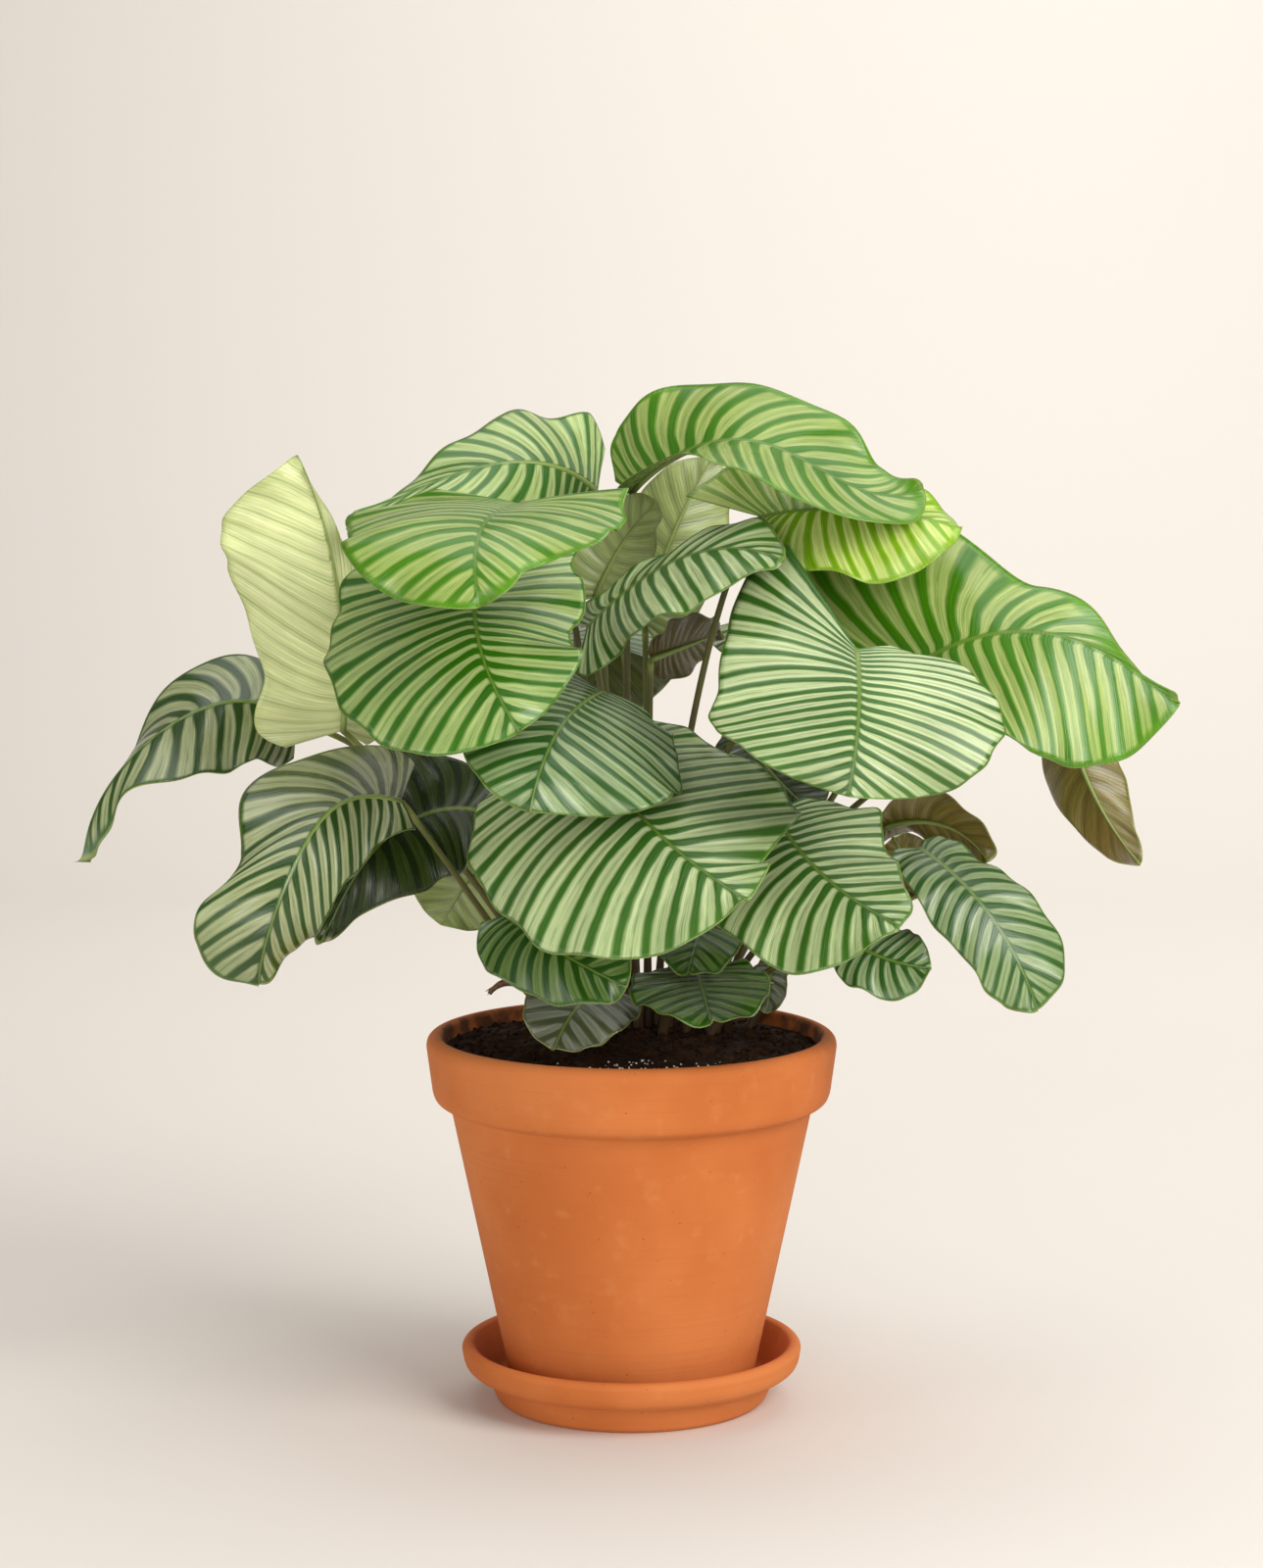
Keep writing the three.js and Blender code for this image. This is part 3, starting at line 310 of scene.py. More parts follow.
# Linear colours of the green, the silver bands, the border and the underside, then the share of light that
# comes through and the border's width in millimetres
PALETTES = {
    # The next palette is a lighter copy of the leaf colours: painted light for a leaf that lies in the shade
    # of the leaf above it
    "painted_lit": ((0.24, 0.5, 0.01), (0.8, 0.95, 0.28), (0.36, 0.62, 0.02), (0.13, 0.17, 0.03), 0.3, 5),
    "lime": ((0.06, 0.23, 0.003), (0.46, 0.59, 0.17), (0.16, 0.42, 0.008), (0.13, 0.17, 0.03), 0.3, 5),
    "cool": ((0.04, 0.145, 0.014), (0.59, 0.72, 0.36), (0.11, 0.29, 0.02), (0.11, 0.14, 0.03), 0.2, 2),
    # The next palette is a darker copy of the cool colours: painted shade for leaves deep in the plant and
    # low down
    "painted_dim": ((0.02, 0.095, 0.009), (0.31, 0.42, 0.19), (0.07, 0.2, 0.012), (0.1, 0.12, 0.03), 0.15, 2),
    "deep": ((0.03, 0.15, 0.002), (0.44, 0.58, 0.2), (0.07, 0.25, 0.008), (0.09, 0.12, 0.02), 0.2, 2.5),
    "silver": ((0.018, 0.06, 0.005), (0.37, 0.42, 0.21), (0.05, 0.15, 0.015), (0.1, 0.1, 0.02), 0.12, 2.5),
    "shaded": (
        (0.007, 0.022, 0.001), (0.04, 0.068, 0.008), (0.02, 0.05, 0.003), (0.07, 0.06, 0.012), 0.06, 3,
    ),
    # The next palette is a darker copy of the leaf colours: painted shade for the low front leaves under the
    # canopy
    "low": ((0.014, 0.075, 0.002), (0.17, 0.27, 0.07), (0.05, 0.17, 0.006), (0.08, 0.09, 0.015), 0.15, 3),
    "olive": ((0.03, 0.07, 0.005), (0.16, 0.22, 0.05), (0.08, 0.14, 0.01), (0.17, 0.14, 0.026), 0.12, 3),
    "backlit": ((0.2, 0.37, 0.06), (0.68, 0.78, 0.46), (0.4, 0.54, 0.1), (0.8, 0.86, 0.42), 0.35, 7),
    "young": ((0.09, 0.17, 0.02), (0.26, 0.33, 0.11), (0.25, 0.33, 0.05), (0.36, 0.44, 0.15), 0.3, 3),
    "dry": ((0.06, 0.08, 0.03), (0.22, 0.24, 0.17), (0.1, 0.1, 0.04), (0.12, 0.11, 0.05), 0.1, 2),
}
# A pale yellow line painted along each margin: a painted highlight where the blade's thin edge catches light
EDGE_HIGHLIGHT = (0.42, 0.48, 0.13)
RIB_YELLOW = (0.22, 0.34, 0.04)

# Gloss
LEAF_GLOSS = {"Specular IOR Level": 0.5, "Coat Weight": 0.35, "Coat Roughness": 0.2}
CLAY_GLOSS = {"Specular IOR Level": 0.25}
PEAT_GLOSS = {"Specular IOR Level": 0.15}

# The leaves' markings: noise scales, and shares of a band
BLOTCH_SCALE = 16
WANDER_SCALE = 42
VEIN_WANDER = 0.16
BAND_HALF_WIDTH = (0.34, 0.6)
BAND_SOFTNESS = (0.2, 0.16)
PATCHINESS = 0.35
FINE_VEINS = 5
STREAKS_ACROSS = 12
STREAKS_ALONG = 1.3

# The stain inside the pot, in metres
STAIN_RADII = (0.1425, 0.1385)
STAIN_DEPTH = 0.012
POT_STAIN_TOP = 0.262
SAUCER_STAIN_TOP = 1.0


def lerp(a, b, t):
    return a + (b - a) * t


def smooth(t):
    t = np.clip(t, 0, 1)
    return t * t * (3 - 2 * t)


def unit(v):
    return v / np.linalg.norm(v, axis=-1, keepdims=True)


def wave(turns):
    """A sine wave, with its place in whole turns."""
    return np.sin(2 * math.pi * turns)


class Path:
    """A smooth curve through a few points."""

    def __init__(self, points):
        p = np.array(points, float)
        knots = self.run_of(p)
        t = np.linspace(0, knots[-1], PATH_STEPS + 1)
        self.points = np.zeros((PATH_STEPS + 1, 3))
        for i, point in enumerate(p):
            weight = np.ones_like(t)
            for j, knot in enumerate(knots):
                if j != i:
                    weight *= (t - knot) / (knots[i] - knot)
            self.points += weight[:, None] * point
        self.run = self.run_of(self.points)
        self.length = self.run[-1]
        self.directions = unit(np.gradient(self.points, self.run, axis=0))

    def run_of(self, points):
        """How far along the line each of its points is."""
        return np.concatenate([[0], np.cumsum(np.linalg.norm(np.diff(points, axis=0), axis=1))])

    def read(self, values, distance):
        return np.stack([np.interp(distance, self.run, values[:, k]) for k in range(3)], -1)

    def at(self, distance):
        """Points and directions at distances along the curve, and straight on past its ends."""
        inside = np.clip(distance, 0, self.length)
        tangent = unit(self.read(self.directions, inside))
        return self.read(self.points, inside) + (distance - inside)[..., None] * tangent, tangent


def frame_at(leaf, rib, distance):
    """The midrib's points, directions, upper sides and shares of its length, at distances along it."""
    point, tangent = rib.at(distance)
    share = np.clip(distance / rib.length, 0, 1)
    base, tip = np.broadcast_to(np.array(leaf["face"], float), (2, 3))
    facing = lerp(base, tip, smooth(share)[..., None])
    normal = unit(facing - (facing * tangent).sum(-1, keepdims=True) * tangent)
    return point, tangent, normal, share


def flat_blade(s, a, lobe, widest):
    """The blade laid flat: side veins leave the midrib at s and sweep forward, and a is the way out."""
    even, crowded, power = VEIN_START
    start = even * s + crowded * s**power
    turn = NOTCH_ANGLE + (math.pi - NOTCH_ANGLE) * s
    back = turn < math.pi / 2
    narrowing, taper_from, taper_span = TAPER
    taper = 1 - narrowing * smooth((s - taper_from) / taper_span)
    out = np.maximum(TIP_HALF_WIDTH, np.clip(np.sin(turn), 0, 1) ** np.where(back, *ROUNDNESS) * taper)
    ahead = widest - np.cos(turn) * np.where(back, widest + lobe, 1 - widest)
    sweep, sweep_rate = VEIN_SWEEP
    swing = sweep * np.sin(math.pi * np.minimum(1, s * sweep_rate))
    return out, lerp(start, ahead, a) - swing * a * (1 - a)


def blended(values, s):
    """Five values spaced evenly along the blade, blended smoothly."""
    step = np.minimum(3, np.floor(s * 4)).astype(int)
    values = np.array(values, float)
    return lerp(values[step], values[step + 1], smooth(s * 4 - step))


def by_side(leaf, k, left, share):
    """An angle of the half that each point is in, in radians."""
    halves = [leaf.get(side, leaf.get("both", FLAT)) * 2 for side in ("left", "right")]
    return np.radians(np.where(left, *[lerp(half[k], half[k + 2], share) for half in halves]))


def half_widths(leaf, left, s):
    """How wide each half is along the blade, with the notch in a torn left margin."""
    reach, right_reach = [blended(values, s) for values in leaf.get("reach", (EVEN, EVEN))]
    tear_at, tear_span, tear_depth = leaf.get("left_tear", NO_TEAR)
    torn = 1 - tear_depth * np.maximum(0, 1 - np.abs(s - tear_at) / tear_span)
    return leaf["width"] / 2 * np.where(left, reach * torn, right_reach)


def unevenness(leaf, s, v, vein, bands, phase):
    """How far the waves, ripples, pleats and flutter lift the blade."""
    a = np.abs(v)
    shift = np.where(v < 0, LEFT_SHIFT, 0)
    height, waves, start = leaf.get("wave", WAVE)
    ripple = height * a**2 * wave(waves * s + start + shift)
    ripple += RIPPLE * a**2 * wave(RIPPLE_WAVES * waves * s + phase + 2 * shift)
    pleat = PLEAT * np.sin(math.pi * a) ** PLEAT_FADE * np.cos(2 * math.pi * vein)
    crinkle = wave(bands * FLUTTER_WAVES[0] * s + 2 * phase + shift)
    swell = 0.6 + 0.4 * wave(FLUTTER_WAVES[1] * s + phase)
    return ripple + pleat + FLUTTER * a**4 * crinkle * swell


def blade_sheet(leaf, rib, s, v, bands, phase):
    """The blade's middle surface over s and v, from -1 at the left margin to 1 at the right one."""
    a = np.abs(v)
    left = v < 0
    lobe = leaf.get("lobe", LOBE)
    lobe = np.where(left, lobe, leaf.get("right_lobe", lobe))
    full, ahead = flat_blade(s, a, lobe, leaf.get("widest", WIDEST_AT))
    out = full * a
    point, tangent, normal, share = frame_at(leaf, rib, ahead * rib.length)
    aside = np.cross(tangent, normal) * np.where(left, -1, 1)[..., None]
    fold = by_side(leaf, 0, left, share)
    turned = by_side(leaf, 1, left, share) * out
    half_width = half_widths(leaf, left, s)

    straight = np.abs(turned) < 1e-4
    bend = np.where(straight, 1, turned)
    spread = np.where(straight, np.cos(fold), (np.sin(fold + bend) - np.sin(fold)) / bend)
    rise = np.where(straight, np.sin(fold), (np.cos(fold) - np.cos(fold + bend)) / bend)
    scallop = wave(SCALLOP_WAVES[0] * s + phase + np.where(left, LEFT_SHIFT, 0))
    scallop += 0.6 * wave(SCALLOP_WAVES[1] * s + 3 * phase)
    reach = out * half_width * (1 + SCALLOP_DEPTH * a**5 * scallop)

    lead, lead_span = PLEAT_LEAD
    vein = bands * s + phase + lead * np.clip(v / lead_span, -1, 1)
    lift = reach * rise + unevenness(leaf, s, v, vein, bands, phase)
    surface = point + aside * (reach * spread)[..., None] + normal * lift[..., None]
    from_edge = full * half_width * (1 - a)
    return surface, {"vein": vein, "across": a, "along": s, "from_rib": reach, "from_edge": from_edge}


def sheet_normals(sheet):
    return unit(np.cross(np.gradient(sheet, axis=1), np.gradient(sheet, axis=0)))


def grid_quads(rows, columns, closed=False):
    """The quads of a grid of points, each row closed on itself or open."""
    grid = np.arange(rows * columns).reshape(rows, columns)
    if closed:
        grid = np.column_stack([grid, grid[:, 0]])
    return np.stack([grid[:-1, :-1], grid[:-1, 1:], grid[1:, 1:], grid[1:, :-1]], -1).reshape(-1, 4)


class Solid:
    """Points in millimetres with their values, and faces with their materials, gathered for one mesh."""

    def __init__(self):
        self.points = []
        self.faces = []
        self.materials = []
        self.values = {}
        self.count = 0

    def add(self, points, faces, material=0, **values):
        points = np.asarray(points, float).reshape(-1, 3)
        self.points.append(points)
        self.faces.extend([[int(c) + self.count for c in face] for face in faces])
        self.materials.extend([material] * len(faces))
        for name in {**self.values, **values}:
            given = np.broadcast_to(np.asarray(values.get(name, 0), float).ravel(), len(points))
            before = self.values.get(name, np.zeros(self.count))
            self.values[name] = np.concatenate([before, given])
        self.count += len(points)

    def mesh(self, name, materials, shade_smooth=True):
        mesh = bpy.data.meshes.new(name)
        mesh.from_pydata((np.concatenate(self.points) * MM).tolist(), [], self.faces)
        for material in materials:
            mesh.materials.append(material)
        mesh.polygons.foreach_set("material_index", self.materials)
        mesh.polygons.foreach_set("use_smooth", [shade_smooth] * len(self.faces))
        for value_name, values in self.values.items():
            layer = mesh.attributes.new(value_name, "FLOAT", "POINT")
            layer.data.foreach_set("value", values.astype(np.float32))
        mesh.update()
        mesh.validate()
        return mesh


def tube(points, radii, sides):
    """Rings round a line of points, then a point at each end."""
    points = np.asarray(points, float)
    tangents = unit(np.gradient(points, axis=0))
    across = np.array([1.0, 0, 0])
    turn = np.linspace(0, 2 * math.pi, sides, endpoint=False)
    rings = []
    for point, tangent, radius in zip(points, tangents, radii):
        across = unit(across - across @ tangent * tangent)
        beside = np.cross(tangent, across)
        rings.append(point + radius * (np.cos(turn)[:, None] * across + np.sin(turn)[:, None] * beside))
    faces = grid_quads(len(points), sides, closed=True).tolist()
    start = len(points) * sides
    last = start - sides
    for j in range(sides):
        after = (j + 1) % sides
        faces.append([start, after, j])
        faces.append([start + 1, last + j, last + after])
    return np.concatenate([np.concatenate(rings), points[:1], points[-1:]]), faces


def new_object(name, data):
    made = bpy.data.objects.new(name, data)
    bpy.context.scene.collection.objects.link(made)
    return made


def add_piece(name, mesh, slot, *nodes):
    """Put a piece on the one body, in place of the solids that it stands for."""
    piece = new_object(name, mesh)
    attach(piece, "root")
    if nodes:
        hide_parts(*nodes)


# Leaves

def stalk_line(leaf, rib):
    """The stalk's middle line, from under the soil to the blade and on under it as the midrib."""
    x, y = leaf["foot"]
    base = np.array(leaf["rib"][0], float)
    climb = base[2] - SOIL_EDGE
    foot = np.array([x, y, SOIL_EDGE - STALK_DEPTH])
    first = np.array([x, y, SOIL_EDGE + leaf.get("rise", STALK_RISE) * climb])
    half_way = [(x + base[0]) / 2, (y + base[1]) / 2, base[2] - WAY_DROP * climb]
    way = np.array(leaf.get("way", half_way), float)
    t = np.linspace(0, 1, STALK_STEPS, endpoint=False)[:, None]
    stalk = (1 - t) ** 3 * foot + 3 * (1 - t) ** 2 * t * first + 3 * (1 - t) * t**2 * way + t**3 * base
    t = t[:, 0]
    sheath = smooth((SHEATH_HEIGHT - (stalk[:, 2] - SOIL_EDGE)) / SHEATH_HEIGHT)
    knee = np.exp(-(((1 - t) * climb - KNEE_BELOW) ** 2) / KNEE_SPAN**2)
    radii = STALK_RADIUS * lerp(1, STALK_SLIMMING, t) + SHEATH_SWELL * sheath + KNEE_SWELL * knee

    share = np.linspace(0, RIB_END, RIB_STEPS)
    point, _, normal, _ = frame_at(leaf, rib, share * rib.length)
    rib_radii = STALK_RADIUS * STALK_SLIMMING * (1 - share / RIB_END) + RIB_TIP_RADIUS
    under = point - normal * (rib_radii * RIB_SINK)[:, None]
    none = np.zeros(RIB_STEPS)
    values = [np.concatenate(pair) for pair in ((t, 1 + share), (sheath, none), (knee, none))]
    return np.concatenate([stalk, under]), np.concatenate([radii, rib_radii]), values


def border_loop(rows, columns):
    """The grid's border points, in order round it."""
    grid = np.arange(rows * columns).reshape(rows, columns)
    return np.concatenate([grid[0], grid[1:, -1], grid[-1, -2::-1], grid[-2:0:-1, 0]])


def leaf_mesh(name, leaf, material, bands, rows, columns):
    """A thin closed blade with pleats and a tapered margin, and its stalk."""
    rib = Path(leaf["rib"])
    phase = (sum(map(ord, name)) % 17) / 17
    s, v = np.meshgrid(np.linspace(0, 1, rows), np.linspace(-1, 1, columns), indexing="ij")
    sheet, values = blade_sheet(leaf, rib, s, v, bands, phase)
    half = BLADE_THICKNESS / 2 * lerp(1, EDGE_SHARE, np.abs(v) ** 4)
    offset = sheet_normals(sheet) * half[..., None]
    count = rows * columns

    quads = grid_quads(rows, columns)
    border = border_loop(rows, columns)
    after = np.roll(border, -1)
    wall = np.stack([after, border, border + count, after + count], -1)
    both = {key: np.concatenate([value.ravel()] * 2) for key, value in values.items()}
    both["upper"] = np.repeat([1, 0], count)
    solid = Solid()
    faces = np.concatenate([quads, quads[:, ::-1] + count, wall])
    solid.add([sheet + offset, sheet - offset], faces, 0, **both)

    line, radii, ring_values = stalk_line(leaf, rib)
    points, faces = tube(line, radii, STALK_SIDES)
    spread = [np.concatenate([np.repeat(x, STALK_SIDES), x[:1], x[-1:]]) for x in ring_values]
    solid.add(points, faces, 1, **dict(zip(("along", "sheath", "knee"), spread)))
    return solid.mesh(name + "_mesh", [material, STALK_LOOK])


# Materials

class Graph:
    """A material in the making: each method adds a node and returns its output."""

    def __init__(self, name):
        self.material = bpy.data.materials.new(name)
        self.material.use_nodes = True
        self.nodes = self.material.node_tree.nodes
        self.nodes.clear()

    def node(self, kind, inputs, **settings):
        node = self.nodes.new("ShaderNode" + kind)
        for key, value in settings.items():
            setattr(node, key, value)
        for socket, value in inputs.items():
            if isinstance(value, bpy.types.NodeSocket):
                self.material.node_tree.links.new(value, node.inputs[socket])
            elif isinstance(value, tuple) and len(value) == 3 and node.inputs[socket].type == "RGBA":
                node.inputs[socket].default_value = (*value, 1)
            else:
                node.inputs[socket].default_value = value
        return node

    def value(self, name):
        return self.node("Attribute", {}, attribute_name=name).outputs["Fac"]

    def place(self):
        return self.node("TexCoord", {}).outputs["Object"]

    def math(self, operation, *values):
        return self.node("Math", dict(enumerate(values)), operation=operation).outputs[0]

    def times(self, first, *others):
        for other in others:
            first = self.math("MULTIPLY", first, other)
        return first

    def plus(self, a, b):
        return self.math("ADD", a, b)

    def minus(self, a, b):
        return self.math("SUBTRACT", a, b)

    def from_middle(self, value):
        return self.math("ABSOLUTE", self.minus(value, 0.5))

    def around_zero(self, noise, strength):
        return self.times(self.minus(noise, 0.5), strength)

    def ease(self, value, start, end, low=0.0, high=1.0):
        """Goes smoothly from low to high while the value goes from start to end."""
        inputs = {"Value": value, "From Min": start, "From Max": end, "To Min": low, "To Max": high}
        return self.node("MapRange", inputs, interpolation_type="SMOOTHSTEP").outputs[0]

    def vector(self, x, y, z=0.0):
        return self.node("CombineXYZ", {0: x, 1: y, 2: z}).outputs[0]

    def stretched(self, vector, x, y, z):
        return self.node("VectorMath", {0: vector, 1: (x, y, z)}, operation="MULTIPLY").outputs[0]

    def noise(self, vector, scale, detail=2.0, roughness=0.5):
        inputs = {"Vector": vector, "Scale": scale, "Detail": detail, "Roughness": roughness}
        return self.node("TexNoise", inputs).outputs[0]

    def mix(self, share, a, b, way="MIX"):
        return self.node("Mix", {0: share, 6: a, 7: b}, data_type="RGBA", blend_type=way).outputs[2]

    def shaded(self, colour, shade):
        """The colour made darker or lighter by a grey value."""
        return self.mix(1.0, colour, self.vector(shade, shade, shade), "MULTIPLY")

    def bump(self, height, strength, distance):
        return self.node("Bump", {"Height": height, "Strength": strength, "Distance": distance}).outputs[0]

    def surface(self, colour, roughness, normal, gloss=None):
        inputs = {"Base Color": colour, "Roughness": roughness, "Normal": normal, **(gloss or {})}
        return self.node("BsdfPrincipled", inputs).outputs[0]

    def finish(self, shader):
        self.node("OutputMaterial", {"Surface": shader})
        return self.material


def dimmed(colour, share):
    """The colour times a share, with no channel past 1."""
    return tuple(min(1, share * channel) for channel in colour)


def silver_share(g, across, from_rib, from_edge, band, blotches, wander, margin):
    """How silver each point is, and how wide the green border is there."""
    half = g.ease(across, 0.0, 0.4, *BAND_HALF_WIDTH)
    half = g.plus(half, g.around_zero(blotches, PATCHINESS))
    silvered = g.ease(band, g.plus(half, BAND_SOFTNESS[0]), g.minus(half, BAND_SOFTNESS[1]))
    border_width = g.times(g.plus(0.15, g.times(wander, 1.7)), margin)
    edge_fade = g.ease(from_edge, g.times(border_width, 0.25), border_width)
    silvered = g.times(silvered, edge_fade, g.ease(from_rib, 0.3, 3))
    centre_line = g.times(g.ease(band, 0.16, 0.02), g.ease(across, 0.1, 0.3), g.ease(wander, 0.3, 0.6))
    return g.times(silvered, g.minus(1.0, g.times(centre_line, 0.5))), border_width


def leaf_look(name, green, silver, border, back, through, margin):
    """Silver bands, a green border, a pale midrib, a pale edge painted as a highlight, and a plainer
    underside.
    """
    g = Graph("leaf_" + name)
    values = [g.value(name) for name in ("vein", "across", "along", "from_rib", "from_edge", "upper")]
    vein, across, along, from_rib, from_edge, upper = values
    place = g.place()
    blotches = g.noise(place, BLOTCH_SCALE, 3)
    wander = g.noise(place, WANDER_SCALE, 2)
    warped = g.plus(vein, g.around_zero(wander, VEIN_WANDER))
    band = g.times(g.from_middle(g.math("FRACT", warped)), 2)
    silvered, border_width = silver_share(g, across, from_rib, from_edge, band, blotches, wander, margin)

    streaks = g.noise(g.vector(g.times(warped, STREAKS_ACROSS), g.times(across, STREAKS_ALONG)), 1, 3, 0.65)
    fine_vein = g.ease(g.from_middle(g.math("FRACT", g.times(warped, FINE_VEINS))), 0.3, 0.48)
    tone = g.plus(g.around_zero(streaks, 0.9), g.around_zero(blotches, 0.5))
    tone = g.minus(tone, g.times(fine_vein, 0.13))
    silvered = g.times(silvered, g.plus(0.72, g.times(streaks, 0.5)))

    above = g.mix(silvered, green, silver)
    above = g.mix(g.times(g.ease(band, 0.93, 0.99), 0.3), above, border)
    rim = g.ease(from_edge, border_width, g.times(border_width, 0.3))
    above = g.mix(g.times(rim, 0.45), above, border)
    above = g.mix(g.times(g.ease(along, 0.35, 1), g.ease(across, 0.3, 1), 0.3), above, border)
    under = g.mix(g.times(silvered, 0.5), back, dimmed(back, 1.5))
    under = g.mix(g.times(g.ease(band, 0.8, 0.97), 0.35), under, dimmed(back, 0.45))
    colour = g.mix(upper, under, above)
    # Painted highlight: a pale line along the margin, where the edge catches light
    colour = g.mix(g.ease(from_edge, 0.9, 0.3, 0, 0.45), colour, EDGE_HIGHLIGHT)
    rib_half = g.ease(along, 0, 1, 1.7, 0.4)
    on_rib = g.ease(from_rib, g.plus(rib_half, 0.5), g.minus(rib_half, 0.3))
    colour = g.mix(g.times(on_rib, 0.65), colour, RIB_YELLOW)
    colour = g.shaded(colour, g.plus(1.0, tone))

    roughness = g.plus(g.times(g.plus(blotches, streaks), 0.13), 0.13)
    height = g.plus(g.times(fine_vein, -0.5), g.times(streaks, 0.9))
    normal = g.bump(height, 0.5, 0.0004)
    skin = g.surface(colour, roughness, normal, LEAF_GLOSS)
    glow = g.mix(0.35, colour, dimmed(border, 1.6))
    lit = g.node("BsdfTranslucent", {"Color": glow, "Normal": normal}).outputs[0]
    return g.finish(g.node("MixShader", {0: through, 1: skin, 2: lit}).outputs[0])


def stalk_look():
    """Olive brown and ribbed, dull in its sheath near the soil and pale at the knee."""
    low, high, rib = (0.075, 0.05, 0.012), (0.10, 0.12, 0.018), (0.22, 0.3, 0.07)
    in_sheath, at_knee = (0.09, 0.055, 0.025), (0.26, 0.3, 0.06)
    g = Graph("leaf_stalk")
    along = g.value("along")
    place = g.place()
    fibres = g.noise(g.stretched(place, 700, 700, 25), 1, 3)
    patches = g.noise(place, 22, 3)
    colour = g.mix(g.ease(along, 0.25, 0.95), low, high)
    colour = g.mix(g.ease(along, 0.98, 1.05), colour, rib)
    colour = g.mix(g.value("sheath"), colour, in_sheath)
    colour = g.mix(g.times(g.value("knee"), 0.8), colour, at_knee)
    colour = g.shaded(colour, g.plus(0.62, g.times(g.plus(fibres, patches), 0.38)))
    roughness = g.plus(0.32, g.times(patches, 0.25))
    return g.finish(g.surface(colour, roughness, g.bump(fibres, 0.5, 0.0005)))


def clay_look(name, stain_top):
    """Mottled terracotta, with grain, faint turning lines, specks and soil stains inside."""
    dark, light, bloom = (0.52, 0.140, 0.030), (0.63, 0.200, 0.055), (0.68, 0.27, 0.10)
    lined, speckled, soiled = (0.40, 0.12, 0.035), (0.10, 0.04, 0.02), (0.09, 0.04, 0.022)
    g = Graph(name)
    place = g.place()
    mottle = g.noise(place, 60, 3)
    grain = g.noise(place, 1400, 2)
    turning = g.noise(g.stretched(place, 6, 6, 700), 1, 2)
    colour = g.mix(g.ease(g.noise(place, 7, 4), 0.3, 0.7), dark, light)
    colour = g.mix(g.ease(mottle, 0.55, 0.8, 0, 0.3), colour, bloom)
    colour = g.mix(g.ease(turning, 0.5, 0.85, 0, 0.22), colour, lined)
    specks = g.node("TexVoronoi", {"Vector": place, "Scale": 230}).outputs["Distance"]
    specks = g.times(g.ease(specks, 0.2, 0.08), g.ease(g.noise(place, 90, 1), 0.62, 0.7), 0.6)
    colour = g.mix(specks, colour, speckled)
    x, y, z = g.node("SeparateXYZ", {0: place}).outputs
    radius = g.math("SQRT", g.plus(g.times(x, x), g.times(y, y)))
    inside = g.times(g.ease(radius, *STAIN_RADII), g.ease(z, stain_top - STAIN_DEPTH, stain_top))
    stain = g.times(inside, g.ease(g.noise(place, 55, 4), 0.35, 0.6), 0.85)
    colour = g.mix(stain, colour, soiled)
    roughness = g.plus(0.62, g.times(g.plus(mottle, grain), 0.16))
    height = g.plus(g.times(grain, 0.5), g.plus(g.times(mottle, 0.8), g.times(turning, 0.6)))
    return g.finish(g.surface(colour, roughness, g.bump(height, 0.4, 0.0004), CLAY_GLOSS))


def soil_look():
    dark, light, wet = (0.009, 0.0035, 0.0012), (0.055, 0.022, 0.007), (0.02, 0.009, 0.005)
    g = Graph("soil_peat")
    place = g.place()
    crumbs = g.noise(place, 260, 5, 0.7)
    damp = g.noise(place, 24, 3)
    colour = g.mix(g.ease(crumbs, 0.35, 0.75), dark, light)
    colour = g.mix(g.ease(damp, 0.5, 0.75, 0, 0.5), colour, wet)
    roughness = g.ease(damp, 0.3, 0.7, 1.0, 0.8)
    return g.finish(g.surface(colour, roughness, g.bump(crumbs, 1.0, 0.0015), PEAT_GLOSS))


def grain_look():
    """White perlite, a little dirty."""
    clean, dirty = (0.80, 0.77, 0.70), (0.22, 0.15, 0.09)
    g = Graph("white_grain")
    dirt = g.noise(g.place(), 420, 3)
    colour = g.mix(g.ease(dirt, 0.5, 0.75, 0, 0.7), clean, dirty)
    return g.finish(g.surface(colour, g.ease(dirt, 0.3, 0.7, 0.6, 0.9), g.bump(dirt, 0.8, 0.0006)))


def dry_look():
    dark, light = (0.07, 0.03, 0.014), (0.26, 0.14, 0.06)
    g = Graph("dry_fibre")
    fibres = g.noise(g.stretched(g.place(), 160, 700, 700), 1, 4)
    colour = g.mix(g.ease(fibres, 0.35, 0.7), dark, light)
    return g.finish(g.surface(colour, g.ease(fibres, 0.3, 0.7, 0.6, 0.85), g.bump(fibres, 0.9, 0.0008)))


def paper_look():
    dark, light = (0.735, 0.70, 0.655), (0.755, 0.72, 0.675)
    g = Graph("backdrop_paper")
    place = g.place()
    tint = g.noise(place, 1.2, 2)
    colour = g.mix(tint, dark, light)
    roughness = g.ease(tint, 0.3, 0.7, 0.85, 0.92)
    return g.finish(g.surface(colour, roughness, g.bump(g.noise(place, 300), 0.05, 0.0004)))


# Pot, saucer and soil

def rounded(profile, radius):
    """A closed profile of [radius, height] points, its corners rounded apart from those on the axis."""
    p = np.array(profile, float)
    made = []
    for i, corner in enumerate(p):
        before, after = p[i - 1] - corner, p[(i + 1) % len(p)] - corner
        if corner[0] < TINY:
            made.append(corner)
            continue
        cut = min(radius, 0.45 * np.linalg.norm(before), 0.45 * np.linalg.norm(after))
        start, end = corner + unit(before) * cut, corner + unit(after) * cut
        for t in np.linspace(0, 1, ROUNDING_STEPS):
            made.append((1 - t) ** 2 * start + 2 * t * (1 - t) * corner + t**2 * end)
    return np.array(made)


